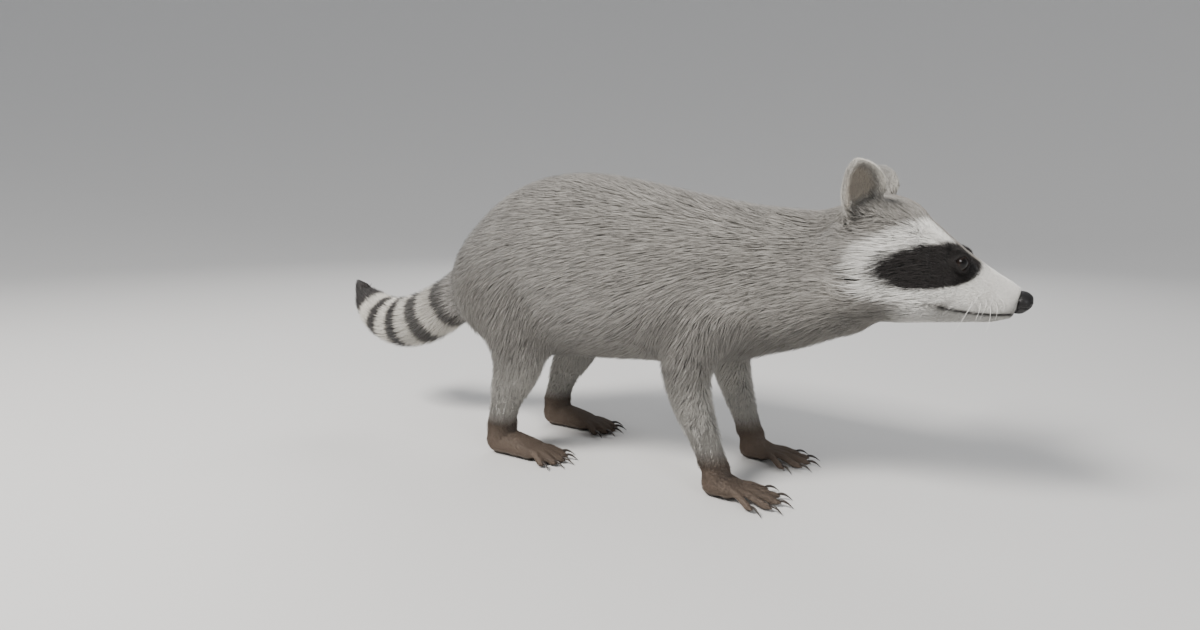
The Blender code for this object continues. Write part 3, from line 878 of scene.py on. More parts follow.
def lie_of_coat(p, normals, shares, web):
    """The way the fur lies at each place, in the skin's plane."""
    along, out, up = in_head(p)
    left = p[:, 1] > 0
    sign = np.where(left, 1.0, -1.0)
    ones, none = np.ones(len(p)), np.zeros(len(p))
    steep = np.abs(normals[:, 1])
    head = unit(unit(p - (nose_centre + head_forward * 0.002)) - 0.45 * head_forward)
    cheek = smoothstep(0.020, -0.030, along) * smoothstep(0.020, 0.050, out) * smoothstep(0.034, 0.006, up)
    head = head + cheek[:, None] * np.stack((-0.2 * ones, 0.60 * sign, -0.42 * ones), axis=1)
    ear = np.where(left[:, None], ear_axes("left")[0], ear_axes("right")[0])
    ear = blend(ear, np.array((-1.0, 0, 0.10)), smoothstep(-0.008, -0.024, ear_rise(p)))
    leg = np.stack((-0.28 * ones, none, -ones), axis=1)
    paw = np.stack((ones, none, -0.2 * ones), axis=1)
    ways = {
        "head": head, "ear": ear, "neck": np.stack((-ones, none, -0.22 * steep), axis=1),
        "trunk": np.stack((-ones, none, -0.34 * steep), axis=1), "tail": tail_share(p)[1],
        "foreleg": leg, "hindleg": leg, "forepaw": paw, "hindpaw": paw,
    }
    way = sum(unit(ways[name]) * shares[name][:, None] for name in GROUPS)
    for side in SIDES:
        edge, reach = eye_opening(p, side)
        near = smoothstep(3.2, 1.3, edge) * smoothstep(0.024, 0.014, reach)
        way = way + 2.6 * near[:, None] * unit(p - eye_centre[side])
    way = web.settle(flat_to(way, normals), 12)
    way = web.settle(way, 60, 0.6 * below_ear(p))
    return flat_to(way, normals)


def coat_length(p, shares):
    """The fur's length at each place, in millimetres."""
    along, out, up = in_head(p)
    z = p[:, 2]
    cheek = smoothstep(0.026, 0.056, out) * smoothstep(0.004, -0.045, along)
    cheek = cheek * smoothstep(0.022, -0.012, up)
    throat = smoothstep(-0.020, -0.050, up) * smoothstep(0.020, -0.035, along)
    head = 2.8 + 2.6 * smoothstep(0.050, 0.012, along) + 11.0 * smoothstep(0.010, -0.055, along)
    head = head + 13.0 * cheek + 6.0 * throat
    for side in SIDES:
        head = mix(head, 2.6, smoothstep(2.6, 1.1, eye_opening(p, side)[0]))
    head = head * (1 - 0.15 * below_ear(p))
    paw = 3.0 + 3.0 * smoothstep(0.018, 0.036, z)
    lengths = {
        "head": head, "ear": 5.5 + 5.0 * smoothstep(-0.006, -0.020, ear_rise(p)),
        "neck": 30.0, "trunk": 32.0, "tail": 33.0,
        "foreleg": 6.5 + 23.0 * smoothstep(0.058, 0.150, z),
        "hindleg": 6.5 + 24.0 * smoothstep(0.058, 0.145, z),
        "forepaw": paw, "hindpaw": paw,
    }
    return sum(lengths[name] * shares[name] for name in GROUPS)


# ---------------------------------------------------------------- materials
def make_grain_group():
    """A fine unevenness of the hair: it varies a colour between Least and Most, and gives a height."""
    group = bpy.data.node_groups.new("hair_grain", "ShaderNodeTree")
    for name, kind, value in (("Colour", "NodeSocketColor", (0.3, 0.3, 0.3, 1)),
                              ("Fineness", "NodeSocketFloat", 700.0),
                              ("Least", "NodeSocketFloat", 0.8), ("Most", "NodeSocketFloat", 1.2)):
        socket = group.interface.new_socket(name, in_out="INPUT", socket_type=kind)
        socket.default_value = value
    group.interface.new_socket("Colour", in_out="OUTPUT", socket_type="NodeSocketColor")
    group.interface.new_socket("Height", in_out="OUTPUT", socket_type="NodeSocketFloat")
    given = group.nodes.new("NodeGroupInput")
    made = group.nodes.new("NodeGroupOutput")
    grain = object_texture(group, "ShaderNodeTexNoise", Scale=700, Detail=2.0)
    value = add_node(group, "ShaderNodeMapRange")
    join = group.links.new
    join(given.outputs["Fineness"], grain.inputs["Scale"])
    join(grain.outputs["Fac"], value.inputs["Value"])
    join(given.outputs["Least"], value.inputs["To Min"])
    join(given.outputs["Most"], value.inputs["To Max"])
    varied = scaled_colour(group, given.outputs["Colour"], value.outputs["Result"])
    join(varied, made.inputs["Colour"])
    join(grain.outputs["Fac"], made.inputs["Height"])
    return group


GRAIN = make_grain_group()


def place_grain(tree, colour, fineness, least, most):
    """The grain's group in a material, fed with a colour."""
    node = tree.nodes.new("ShaderNodeGroup")
    node.node_tree = GRAIN
    for name, value in (("Fineness", fineness), ("Least", least), ("Most", most)):
        node.inputs[name].default_value = value
    tree.links.new(colour, node.inputs["Colour"])
    return node


def hair_streaks(tree):
    """Light and dark streaks along each tuft, as from single hairs."""
    hair = add_node(tree, "ShaderNodeSeparateXYZ")
    tree.links.new(field_node(tree, "hair_place").outputs["Vector"], hair.inputs["Vector"])
    across = calculated(tree, "ShaderNodeMath", "DIVIDE", hair.outputs["X"], hair.outputs["Y"])
    own = calculated(tree, "ShaderNodeMath", "MULTIPLY", hair.outputs["Z"], 40.0)
    place = calculated(tree, "ShaderNodeMath", "ADD", across, own)
    streak = add_node(tree, "ShaderNodeTexNoise", noise_dimensions="1D", Scale=7.0, Detail=1.0)
    tree.links.new(place, streak.inputs["W"])
    value = add_node(tree, "ShaderNodeMapRange")
    for key, number in (("From Min", 0.28), ("From Max", 0.72), ("To Min", 0.74), ("To Max", 1.24)):
        value.inputs[key].default_value = number
    tree.links.new(streak.outputs["Fac"], value.inputs["Value"])
    return value.outputs["Result"]


def tail_rings(tree):
    """The tail's rings, from the share of the tail that is reached."""
    shares = np.linspace(0.20, 1.0, 161)
    colours = ring_colour(shares)
    bends = np.abs(np.diff(colours, n=2, axis=0)).max(axis=1) > 0.06
    chosen = [0, -1, *(np.nonzero(bends)[0] + 1)[:30]]
    share = field_node(tree, "ring_place").outputs["Fac"]
    return add_ramp(tree, share, [(shares[i], colours[i]) for i in chosen])


def make_fur_material(name, ringed=False):
    material, tree, shader = new_material(name, (0.3, 0.3, 0.3), 0.66, 0.16)
    colour = field_node(tree).outputs["Color"]
    if ringed:
        colour = calculated(tree, "ShaderNodeVectorMath", "MULTIPLY", colour, tail_rings(tree))
    colour = scaled_colour(tree, colour, hair_streaks(tree))
    grain = place_grain(tree, colour, 600, 0.86, 1.14)
    tree.links.new(grain.outputs["Colour"], shader.inputs["Base Color"])
    shader.inputs["Sheen Weight"].default_value = 0.10
    shader.inputs["Sheen Roughness"].default_value = 0.5
    return material


def make_skin_material():
    """Bare skin, and fur so short that it is a nap."""
    material, tree, shader = new_material("short_fur_and_skin", (0.3, 0.3, 0.3), 0.68, 0.25)
    grain = place_grain(tree, field_node(tree).outputs["Color"], 900, 0.74, 1.22)
    tree.links.new(grain.outputs["Colour"], shader.inputs["Base Color"])
    add_bump(tree, shader, grain.outputs["Height"], 0.5, 0.0006)
    return material


def make_eye_material():
    """A dark iris round a black pupil, under a clear wet coat."""
    material, tree, shader = new_material("eye_gloss", (0.01, 0.006, 0.004), 0.30, 0.0)
    stops = (
        # share of a right angle from the pupil's middle, colour
        (0.24, (0.002, 0.0015, 0.0015)),
        (0.29, (0.009, 0.0050, 0.0034)),
        (0.40, (0.013, 0.0070, 0.0046)),
        (0.50, (0.006, 0.0036, 0.0026)),
        (0.56, (0.004, 0.002, 0.002)),
    )
    iris = add_ramp(tree, field_node(tree, "from_pupil").outputs["Fac"], stops)
    tree.links.new(iris, shader.inputs["Base Color"])
    shader.inputs["Coat Weight"].default_value = 1.0
    shader.inputs["Coat IOR"].default_value = 1.38
    shader.inputs["Coat Roughness"].default_value = 0.02
    return material


def make_nose_material():
    """Black leather with a fine pebble."""
    material, tree, shader = new_material("nose_leather", (0.008, 0.007, 0.007), 0.42, 0.28)
    cells = object_texture(tree, "ShaderNodeTexVoronoi", Scale=1500)
    add_bump(tree, shader, cells.outputs["Distance"], 0.45, 0.0003)
    shader.inputs["Coat Weight"].default_value = 0.10
    shader.inputs["Coat Roughness"].default_value = 0.2
    return material


def make_claw_material():
    material, tree, shader = new_material("claw_horn", (0.03, 0.026, 0.024), 0.34, 0.45)
    grain = object_texture(tree, "ShaderNodeTexNoise", Scale=600, Detail=3.0)
    stops = ((0.30, (0.016, 0.013, 0.012)), (0.75, (0.060, 0.047, 0.038)))
    tree.links.new(add_ramp(tree, grain.outputs["Fac"], stops), shader.inputs["Base Color"])
    return material


# ---------------------------------------------------------------- putting the skin together
def near_muzzle(p):
    along, _, up = in_head(p)
    return (along > 0.004) & (up > -0.060)


def near_eyes(p):
    reach = [np.linalg.norm(p - eye_centre[side], axis=1) for side in SIDES]
    return np.min(reach, axis=0) < 1.6 * eye_radius


def near_lids(p):
    edge = lid_distance(p)
    return (edge > 0.82) & (edge < 1.35)


def shape_skin(skin, web, labels):
    """Thins the skin where it is plain, splits it finer on the face, and gives it its fine forms."""
    fine = belongs(labels, "eye", "nose", "ear", "forepaw", "hindpaw")
    fine = fine | belongs(labels, "head") & (in_head(read_vertices(skin.data))[0] > -0.020)
    keep = np.clip(web.settle(fine.astype(float), 12), 0, 1)
    thin_out(skin, keep, keep.mean() + 0.07)
    for chosen in (near_muzzle, near_eyes, near_lids):
        refine(skin, chosen)
    apply_modifier(skin, "TRIANGULATE")
    mesh = skin.data
    web = Web(mesh)
    places = read_vertices(mesh)
    places = web.settle(places, 4, 0.5 * (near_muzzle(places) | near_eyes(places)))
    write_vertices(mesh, places)
    places = shape_mouth(places, read_normals(mesh))
    places = shape_lids(places)
    places = shape_nose_bed(places)
    places = shape_ears(places, read_normals(mesh))
    places = shape_soles(places, read_normals(mesh))
    places = web.settle(places, 40, 0.6 * ear_foot(places))
    write_vertices(mesh, places)
    return web


def soft_noise(p, size, offset=0.0):
    spot = Vector((offset, offset * 0.7, -offset))
    return np.array([noise.noise(Vector(place) / size + spot) for place in p.tolist()])


def read_skin(mesh, web, shell):
    """The group that each place of the skin is in, and all that the coat needs to know there."""
    places, normals = read_vertices(mesh), read_normals(mesh)
    shares = group_shares(nearest_labels(places), web)
    room = np.array([shell.find_nearest(place)[3] for place in places.tolist()])
    colour, grizzle = markings(places, normals, shares)
    fields = {
        "place": places,
        "normal": normals,
        "room": web.settle(room, 8),
        "way": lie_of_coat(places, normals, shares, web),
        "length": coat_length(places, shares),
        "colour": colour,
        "grizzle": grizzle,
        "ruff": ruff_share(places),
        "mottle": soft_noise(places, 0.030) + 0.5 * soft_noise(places, 0.011, 9.0),
        "swirl": soft_noise(places, 0.022, 31.0),
        "lid": lid_distance(places),
    }
    return shares, fields


def paint_skin(mesh, fields):
    """The coat's colours with painted shade where tufts cover them, black lids and nose, and bare soles."""
    places = fields["place"]
    # Painted shade: the skin is painted darker where long tufts lie over it, and less so where the fur is
    # short.
    bare = smoothstep(9.0, 4.0, fields["length"])
    paint = fields["colour"] * (0.72 + 0.16 * bare)[:, None] * (1 + 0.12 * fields["mottle"])[:, None]
    paint = blend(paint, BLACK, smoothstep(1.45, 1.2, fields["lid"]))
    paint = blend(paint, BLACK, smoothstep(1.13, 1.06, nose_reach(places)))
    pads, sole = pad_share(places)
    under = sole * smoothstep(-0.25, -0.65, fields["normal"][:, 2])
    paint = blend(paint, BROWN * (0.62 - 0.34 * pads)[:, None], under)
    add_field(mesh, "coat_tint", "FLOAT_COLOR", opaque(paint))
    shade_smooth(mesh)
    mesh.materials.clear()
    mesh.materials.append(make_skin_material())


skin, skin_web, skin_labels, coat_surface = make_skin_base()
skin_web = shape_skin(skin, skin_web, skin_labels)
skin_shares, FIELDS = read_skin(skin.data, skin_web, coat_surface)
paint_skin(skin.data, FIELDS)
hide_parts(*FLESH)
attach(skin, "root")

# ---------------------------------------------------------------- values at the skin's faces
skin.data.calc_loop_triangles()
skin_faces = np.empty(len(skin.data.loop_triangles) * 3, dtype=np.int64)
skin.data.loop_triangles.foreach_get("vertices", skin_faces)
skin_faces = skin_faces.reshape(-1, 3)
skin_tree = BVHTree.FromPolygons(FIELDS["place"].tolist(), skin_faces.tolist())


def over_faces(field):
    return field[skin_faces].mean(axis=1)


face_place = over_faces(FIELDS["place"])
face_room = over_faces(FIELDS["room"])
face_way = unit(over_faces(FIELDS["way"]))
face_group = np.argmax(over_faces(np.stack([skin_shares[name] for name in GROUPS], axis=1)), axis=1)


def of_group(*names):
    return np.isin(face_group, [number for number, name in enumerate(GROUPS) if name in names])


# ---------------------------------------------------------------- laying the tufts
FLATNESS = 0.30  # a tuft's thickness against its width
LEAST_WIDTH = 0.38  # millimetres
WIDTH_BY_LENGTH = 0.025
LEAST_LAYERS = 2.4
LAYERS_BY_LENGTH = 0.225
SCATTER_PATCH = 0.006
ROOT_DEPTH = 0.6
SHORT_ROOT_DEPTH = 0.20
STRAY_BEND = 0.70  # the least that a tuft's two halves may agree in their way
LOCK_SHARE = 14
SHORT_LOCK_SHARE = 9
UV_PATCH = 0.003


def tuft_width(length):
    return LEAST_WIDTH + WIDTH_BY_LENGTH * length


def tuft_density(length):
    """Tufts in a square millimetre, so that they overlap in enough layers to hide the skin."""
    layers = LEAST_LAYERS + LAYERS_BY_LENGTH * length
    return layers / (length * tuft_width(length) * 0.55)


class Tufts:
    """Tufts rooted evenly over chosen faces of the skin: how each lies, its length and its width."""

    def __init__(self, kind, chosen, thick, rich):
        self.kind = kind
        self.scatter(skin_faces[chosen], rich * tuft_density(FIELDS["length"]) / thick)
        n = self.count
        self.root, self.normal = self.read("place"), unit(self.read("normal"))
        self.long = self.read("length") * (0.72 + 0.42 * rng.random(n)) * MM
        calm = 0.30 if kind == "tail" else 1.0
        turn = calm * np.radians(9.0 * rng.standard_normal(n) + 7.0 * self.read("swirl"))
        way = flat_to(self.read("way"), self.normal)
        self.way = way * np.cos(turn)[:, None] + np.cross(self.normal, way) * np.sin(turn)[:, None]
        self.across = np.cross(self.normal, self.way)
        self.width = tuft_width(self.long / MM) * MM * thick * (0.75 + 0.5 * rng.random(n))

    def scatter(self, faces, density):
        a, b, c = (FIELDS["place"][faces[:, i]] for i in range(3))
        area = np.linalg.norm(np.cross(b - a, c - a), axis=1) / 2 * 1e6
        wanted = area * density[faces].mean(axis=1)
        order = np.lexsort(np.floor((a + b + c).T / 3 / SCATTER_PATCH).astype(int))
        faces, wanted = faces[order], wanted[order]
        self.count = int(wanted.sum())
        steps = (np.arange(self.count) + rng.random(self.count)) / self.count * wanted.sum()
        own = np.minimum(np.searchsorted(np.cumsum(wanted), steps), len(faces) - 1)
        self.corners = faces[own]
        first, second = np.sqrt(rng.random(self.count)), rng.random(self.count)
        self.shares = np.stack((1 - first, first * (1 - second), first * second), axis=1)

    def read(self, name):
        """A field of the skin at the tufts' roots."""
        corners = FIELDS[name][self.corners]
        if corners.ndim == 2:
            return np.sum(corners * self.shares, axis=1)
        return np.sum(corners * self.shares[:, :, None], axis=1)


def nearest_on(tree, places):
    """The skin's nearest place, its normal and its face; a place far off the skin stays in the air."""
    spots = np.empty((len(places), 3))
    ways = np.empty((len(places), 3))
    faces = np.empty(len(places), dtype=int)
    for i, place in enumerate(places.tolist()):
        spots[i], ways[i], faces[i], _ = tree.find_nearest(place)
    off = np.linalg.norm(places - spots, axis=1)
    return blend(spots, places, smoothstep(0.004, 0.010, off)), ways, faces


def gather(places, tips, pull, share):
    """Draws neighbouring tips together into locks, of which there is one for each share of tufts."""
    centres = rng.choice(len(places), max(len(places) // share, 1), replace=False)
    tree = kdtree.KDTree(len(centres))
    for number, centre in enumerate(centres):
        tree.insert(places[centre], number)
    tree.balance()
    own = np.array([centres[tree.find(place)[1]] for place in places.tolist()])
    return tips + (tips[own] - tips) * pull[:, None], own


def ring_about(centre, across, outward, width):
    """The three corners of each tuft's widest place."""
    thick = width * FLATNESS
    half = across * (width / 2)[:, None]
    low = centre - outward * (thick / 3)[:, None]
    high = centre + outward * (thick * 2 / 3)[:, None]
    return np.stack((low - half, low + half, high), axis=1)


def tail_path(tufts, mid, tips, mid_way):
    """Leads tufts down the tail's own line, all but those that grow where it leaves the rump."""
    n, root = tufts.count, tufts.root
    share, _ = tail_share(root)
    reach = share * TAIL_LENGTH
    line, above = tail_place(reach, np.zeros(n), 0.0)
    rel = root - line
    around = np.arctan2(rel[:, 1], dot(rel, above))
    around = around + 0.10 * rng.standard_normal(n) + 0.10 * tufts.read("swirl")
    last = TAIL_LENGTH + TAIL_END * (0.10 + 0.88 * rng.random(n) ** 0.8)
    end_reach = np.maximum(np.minimum(reach + 0.92 * tufts.long, last), reach + 0.004)
    top = 1 - 0.34 * rng.random(n) ** 1.5
    top = top * mix(1.0, np.sqrt(rng.random(n)), smoothstep(-0.010, 0.004, end_reach - TAIL_LENGTH))
    mid_reach = mix(reach, end_reach, 0.46)
    over, over_way = tail_place(mid_reach, around, np.ones(n))
    own_mid = root + tail_way(mid_reach) * (mid_reach - reach)[:, None]
    own_mid = mix(own_mid, over, (0.58 * top)[:, None])
    own_tips, _ = tail_place(end_reach, around, top)
    led = smoothstep(0.14, 0.32, share)
    return blend(mid, own_mid, led), blend(tips, own_tips, led), unit(blend(mid_way, over_way, led))


def bend_tufts(tufts):
    """Long tufts, led over the skin in two steps and lifted into the room that the coat has there."""
    n, root, long = tufts.count, tufts.root, tufts.long
    spread = long * 0.90
    mid, mid_way, faces = nearest_on(skin_tree, root + tufts.way * (0.46 * spread)[:, None])
    step = flat_to(face_way[faces] * 0.5 + flat_to(tufts.way, mid_way) * 0.5, mid_way)
    end, end_way, faces = nearest_on(skin_tree, mid + step * (0.54 * spread)[:, None])
    reach = 1 - 0.36 * rng.random(n) ** 1.6
    hold = 0.35 + 0.5 * tufts.read("ruff")
    top = reach * mix(face_room[faces], tufts.read("room"), hold) + 0.2 * MM
    top = np.maximum(np.minimum(top, 0.72 * long), 0.8 * MM + 0.02 * long)
    mid = mid + mid_way * (0.66 * top)[:, None]
    tips = end + end_way * top[:, None]
    if tufts.kind == "tail":
        mid, tips, mid_way = tail_path(tufts, mid, tips, mid_way)
    strayed = dot(unit(mid - root), unit(tips - mid)) < STRAY_BEND
    for ends, ahead, high in ((mid, 0.28, 0.08), (tips, 0.50, 0.06)):
        ends[strayed] = root[strayed] + ((tufts.way * ahead + tufts.normal * high) * long[:, None])[strayed]
    pull = (0.04 + 0.20 * rng.random(n)) * ~strayed
    tips, own = gather(root, tips, pull, LOCK_SHARE)
    mid = mid + (mid[own] - mid) * (0.30 * pull)[:, None]
    ring = ring_about(mid, unit(np.cross(mid_way, tips - root)), mid_way, tufts.width)
    return ring, tips, own, root - tufts.normal * ROOT_DEPTH * MM


def stand_tufts(tufts):
    """Short straight tufts that lean over the skin."""
    n, root, normal = tufts.count, tufts.root, tufts.normal
    lift = np.radians(11 + 10 * rng.random(n))
    lean = tufts.way * np.cos(lift)[:, None] + normal * np.sin(lift)[:, None]
    tips = root + lean * tufts.long[:, None]
    tips, own = gather(root, tips, 0.10 + 0.15 * rng.random(n), SHORT_LOCK_SHARE)
    ring = ring_about(root - normal * SHORT_ROOT_DEPTH * MM, tufts.across, normal, tufts.width)
    return ring, tips, own, None


def tint_tufts(tufts, own, ring_value):
    """The colours of the tufts' roots, rings and tips; the tail's rings come from its material."""
    n = tufts.count
    base, grey = tufts.read("colour"), tufts.read("grizzle")
    shade = (1 + 0.12 * tufts.read("mottle")) * (0.92 + 0.16 * rng.random(n))
    lock_shade = (0.93 + 0.14 * rng.random(n))[own]
    if tufts.kind == "tail":
        at_rump = smoothstep(0.30, 0.12, tail_share(tufts.root)[0])
        base = np.repeat(1 - 0.10 * at_rump, 3).reshape(-1, 3)
        grey = grey + 0.6 * at_rump
    base = base * (shade * lock_shade)[:, None]
    black_tip = rng.random(n) < 0.26 * grey
    tip_value = np.where(black_tip, 0.42, 1.0 + 0.40 * grey * rng.random(n))
    if ring_value is None:
        ring_value = np.where(black_tip, 0.80, 0.98)[:, None]
    return base * 0.74, base * ring_value, base * tip_value[:, None]


def unwrap_spots(p, kind):
    """Where each root lies on an unwrap of the body's own shapes."""
    along, _, up = in_head(p)
    x, y, z = p.T
    if kind in ("trunk", "neck"):
        angle, reach = np.arctan2(y, z - 0.185), x
    elif kind == "head":
        angle, reach = np.arctan2(y, up + 0.01), along
    elif kind == "tail":
        reach, _ = tail_share(p)
        angle = np.arctan2(y, z - np.interp(reach, TAIL_SHARE, TAIL[:, 2]))
    elif kind == "leg":
        leg_x = np.where(x > 0.03, fore_foot_x - 0.02, hind_foot_x)
        angle, reach = np.arctan2(np.abs(y) - 0.062, x - leg_x), z
    elif kind == "ear":
        angle, reach = np.arctan2(np.abs(y) - 0.055, x - 0.250), z
    else:
        angle, reach = np.arctan2(np.abs(y) - FOOT_OUT, z - 0.006), x
    angle = (angle - angle.min()) / np.ptp(angle)
    reach = (reach - reach.min()) / np.ptp(reach)
    if kind in ("leg", "ear", "paw"):
        angle = (angle * 0.98 + (y > 0)) / 2
    return 0.002 + 0.992 * np.stack((angle, reach), axis=1)


def tuft_mesh(name, ring, tips, tints, patches, roots):
    """Closed tufts: a three-cornered ring drawn to a tip and, where roots are given, to a root."""
    count = len(tips)
    stations = [ring[:, 0], ring[:, 1], ring[:, 2], tips]
    shade = [1, 1, 1, 2]
    faces = [(0, 1, 3), (1, 2, 3), (2, 0, 3)]
    if roots is None:
        faces.append((2, 1, 0))
    else:
        stations.append(roots)
        shade.append(0)
        faces += [(1, 0, 4), (2, 1, 4), (0, 2, 4)]
    each = len(stations)
    faces = np.array(faces)
    loops = (faces[None] + (np.arange(count) * each)[:, None, None]).reshape(-1)
    mesh = bpy.data.meshes.new(name)
    mesh.vertices.add(count * each)
    mesh.vertices.foreach_set("co", np.stack(stations, axis=1).astype(np.float32).ravel())
    mesh.loops.add(len(loops))
    mesh.loops.foreach_set("vertex_index", loops.astype(np.int32))
    mesh.polygons.add(count * len(faces))
    mesh.polygons.foreach_set("loop_start", np.arange(count * len(faces), dtype=np.int32) * 3)
    mesh.update(calc_edges=True)
    add_field(mesh, "coat_tint", "FLOAT_COLOR", opaque(np.stack([tints[level] for level in shade], axis=1)))
    # Across the tuft, times a weight that falls to its ends, the weight, and the tuft's own number.
    spread = np.array((0.0, 1.0, 0.5, 0.5, 0.5))[:each]
    weight = np.array((1.0, 1.0, 1.0, 0.04, 0.04))[:each]
    hair = np.empty((count, each, 3))
    hair[:, :, 0] = spread * weight
    hair[:, :, 1] = weight
    hair[:, :, 2] = rng.random(count)[:, None]
    add_field(mesh, "hair_place", "FLOAT_VECTOR", hair)
    spot = np.stack((spread, np.array((0.5, 0.5, 0.5, 1.0, 0.0))[:each]), axis=1) * UV_PATCH
    spots = (patches[:, None] + spot[None])[:, faces.reshape(-1)].reshape(-1, 2)
    uv = mesh.uv_layers.new(name="OFBake")
    uv.data.foreach_set("uv", spots.astype(np.float32).ravel())
    shade_smooth(mesh)
    obj = bpy.data.objects.new(name, mesh)
    bpy.context.collection.objects.link(obj)
    return obj


COAT_MATERIAL = make_fur_material("coat_fur")
TAIL_MATERIAL = make_fur_material("tail_fur", ringed=True)


def lay(name, kind, chosen, thick=1.0, rich=1.0, short_value=None):
    """One piece of the coat, on the chosen faces of the skin. A short one's rings have their own value."""
    tufts = Tufts(kind, chosen, thick, rich)
    ring, tips, own, roots = bend_tufts(tufts) if short_value is None else stand_tufts(tufts)
    tints = tint_tufts(tufts, own, short_value)
    piece = tuft_mesh(name, ring, tips, tints, unwrap_spots(tufts.root, kind), roots)
    if kind == "tail":
        corners = read_vertices(piece.data)
        uneven = np.repeat(0.007 * rng.standard_normal(tufts.count), len(corners) // tufts.count)
        add_field(piece.data, "ring_place", "FLOAT", tail_share(corners)[0] + uneven)
    piece.data.materials.append(TAIL_MATERIAL if kind == "tail" else COAT_MATERIAL)
    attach(piece, "root")


def lay_coat():
    _, _, up = in_head(face_place)
    _, y, z = face_place.T
    long = over_faces(FIELDS["length"]) + 2.0 * rng.standard_normal(len(skin_faces)) > 9.0
    above = np.abs(np.arctan2(y, z - 0.175)) < 0.62
    below = np.abs(np.arctan2(y, 0.175 - z)) < 0.75
    trunk, head, tail = of_group("trunk"), of_group("head"), of_group("tail")
    flank = trunk & ~above & ~below
    legs, paws = of_group("foreleg", "hindleg"), of_group("forepaw", "hindpaw")
    clear = (over_faces(FIELDS["lid"]) > 1.22) & (nose_reach(face_place) > 1.03)
    far_half = tail_share(face_place)[0] >= 0.5
    lay("coat_back", "trunk", trunk & above)
    lay("coat_flank_left", "trunk", flank & (y > 0))
    lay("coat_flank_right", "trunk", flank & (y <= 0))
    lay("coat_belly", "trunk", trunk & below, rich=0.8)
    lay("coat_neck", "neck", of_group("neck"), thick=0.9)
    lay("coat_crown", "head", head & long & (up > -0.005), thick=0.8)
    lay("coat_cheeks", "head", head & long & (up <= -0.005), thick=0.75, rich=0.9)
    lay("coat_face", "head", head & ~long & clear, thick=0.8, short_value=0.7)
    lay("coat_ears", "ear", of_group("ear"), rich=0.8, thick=0.85, short_value=0.7)
    lay("coat_forelegs", "leg", of_group("foreleg") & long, rich=0.85)
    lay("coat_hindlegs", "leg", of_group("hindleg") & long, rich=0.75)
    lay("coat_shanks", "leg", legs & ~long, short_value=0.85)
    seen = over_faces(FIELDS["normal"])[:, 2] > -0.3
    lay("coat_paws", "paw", paws & seen, rich=0.42, short_value=0.92)
    lay("coat_tail_base", "tail", tail & ~far_half, rich=1.7)
    lay("coat_tail_tip", "tail", tail & far_half, rich=1.7)


lay_coat()


# ---------------------------------------------------------------- eyes, nose, claws, whiskers
def settle_piece(obj, name, material, slot, *nodes):
    """Names a piece, puts its place into its mesh, hangs it on the root and hides the solids that it
    replaces.
    """
    obj.name = obj.data.name = name
    bpy.context.view_layer.objects.active = obj
    bpy.ops.object.select_all(action="DESELECT")
    obj.select_set(True)
    bpy.ops.object.transform_apply(location=True, rotation=True, scale=True)
    bpy.ops.object.shade_smooth()
    obj.data.materials.clear()
    obj.data.materials.append(material)
    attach(obj, "root")
    if nodes:
        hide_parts(*nodes)


def make_eyeball(side, material):
    bpy.ops.mesh.primitive_uv_sphere_add(
        segments=64, ring_count=40, radius=eye_radius, location=eye_centre[side].tolist()
    )
    ball = bpy.context.object
    settle_piece(ball, f"eyeball_{side}", material, "eye", f"eye_{side}")
    way = unit(read_vertices(ball.data) - eye_centre[side])
    angle = np.degrees(np.arccos(np.clip(way @ eye_axes(side)[0], -1, 1))) / 90
    add_field(ball.data, "from_pupil", "FLOAT", angle)


def dent(across, height, centre, size):
    """A soft round dent or bulge, 1 at its middle."""
    return np.exp(-(((across - centre[0]) / size[0]) ** 2 + ((height - centre[1]) / size[1]) ** 2))


def make_nose(material):
    """The nose pad: a rounded block, narrow below, with nostrils that run out into slits."""
    bpy.ops.mesh.primitive_uv_sphere_add(segments=96, ring_count=64, radius=1)
    nose = bpy.context.object
    v = unit(read_vertices(nose.data))
    ahead = (v[:, 0] > 0) * 1.0
    side, up = np.abs(v[:, 1]), v[:, 2]
    narrow = smoothstep(0.15, -0.9, up)
    shape = v * nose_radii
    shape[:, 0] -= 1.3 * MM * smoothstep(0.55, 1.0, v[:, 0])
    shape[:, 1] *= 1 - 0.34 * narrow
    shape[:, 0] -= 1.9 * MM * narrow * ahead
    pit = dent(side, up, (0.44, -0.06), (0.165, 0.19)) * ahead
    slit_height = up + 0.16 + 0.30 * (side - 0.55)
    slit = dent(side, slit_height, (0.70, 0), (0.19, 0.070)) * ahead
    wing = dent(side, up, (0.50, 0.30), (0.26, 0.15)) * ahead
    flare = dent(side, up, (0.74, -0.02), (0.16, 0.16)) * ahead
    groove = np.exp(-((v[:, 1] / 0.050) ** 2)) * smoothstep(0.16, -0.15, up) * ahead
    shape -= v * (np.maximum(pit * 4.4, slit * 2.4) * MM)[:, None]
    shape += v * ((wing * 0.8 + flare * 0.6) * MM)[:, None]
    shape -= v * (groove * 1.1 * MM)[:, None]
    turned = shape[:, :1] * head_forward + shape[:, 1:2] * LEFTWARD + shape[:, 2:] * head_up
    write_vertices(nose.data, nose_centre + turned)
    settle_piece(nose, "nose_pad", material, "nose", "nose")


def make_claws(foot, side, material):
    nodes = [f"claw_{foot}_{side}_{number}" for number in range(1, 6)]
    claws = join_pieces([swelled_copy(node, 0.0) for node in nodes])
    apply_modifier(claws, "SUBSURF", levels=2, render_levels=2)
    settle_piece(claws, f"claws_{foot}_{side}", material, "claw", *nodes)


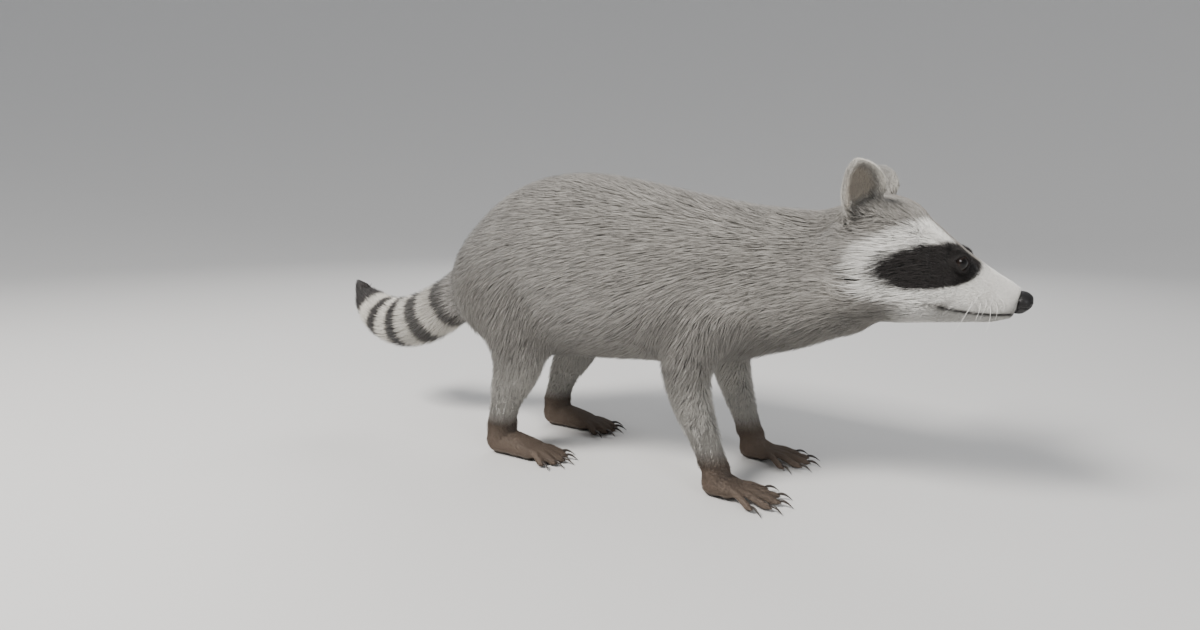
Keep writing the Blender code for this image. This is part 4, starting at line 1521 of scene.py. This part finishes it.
WHISKER_ROWS = (
    # height from between the eyes, number of whiskers
    (-0.0125, 4),
    (-0.0175, 4),
    (-0.0225, 3),
)
WHISKER_RADIUS = 0.00030
WHISKER_BEND = unit(np.array((-0.55, 0, -0.60)))


def whisker_rod():
    """A straight fine cone with rings to bend it at."""
    bpy.ops.mesh.primitive_cone_add(vertices=7, radius1=WHISKER_RADIUS, radius2=0.00004, depth=1)
    bpy.ops.object.mode_set(mode="EDIT")
    for station in range(1, 10):
        bpy.ops.mesh.select_all(action="SELECT")
        bpy.ops.mesh.bisect(plane_co=(0, 0, station / 10 - 0.5), plane_no=(0, 0, 1))
    bpy.ops.object.mode_set(mode="OBJECT")
    return bpy.context.object


def make_whisker(sign, row, up, number):
    along = 0.041 - 0.0062 * number - 0.002 * row
    start = between_eyes + head_size * (head_forward * along + head_up * up + np.array((0, 0.03 * sign, 0)))
    spot, outward, _, _ = skin_tree.find_nearest(start.tolist())
    spot, outward = np.array(spot), np.array(outward)
    reach = (0.040 + 0.005 * number - 0.004 * row) * (0.85 + 0.3 * rng.random())
    aim = np.array((0, sign * 1.0, 0)) + head_forward * (0.30 - 0.20 * number)
    aim = unit(aim + head_up * (0.10 - 0.22 * row) + outward * 0.4)
    hair = whisker_rod()
    v = read_vertices(hair.data)
    share = v[:, 2] + 0.5
    side_a = unit(np.cross(aim, head_up))
    side_b = np.cross(aim, side_a)
    line = (spot - outward * 0.0012) + aim * (share * reach)[:, None]
    line = line + WHISKER_BEND * (0.30 * reach * share**2)[:, None]
    write_vertices(hair.data, line + v[:, :1] * side_a + v[:, 1:2] * side_b)
    return hair


def make_whiskers(material):
    """Stiff pale hairs in rows on the muzzle's sides, bent back and down."""
    made = []
    for sign in SIDES.values():
        for row, (up, count) in enumerate(WHISKER_ROWS):
            made += [make_whisker(sign, row, up, number) for number in range(count)]
    settle_piece(join_pieces(made), "whiskers", material, "fur")


eye_material = make_eye_material()
for side in SIDES:
    make_eyeball(side, eye_material)
make_nose(make_nose_material())
claw_material = make_claw_material()
for foot in FEET:
    for side in SIDES:
        make_claws(foot, side, claw_material)
make_whiskers(new_material("whisker", (0.80, 0.78, 0.74), 0.4, 0.4)[0])
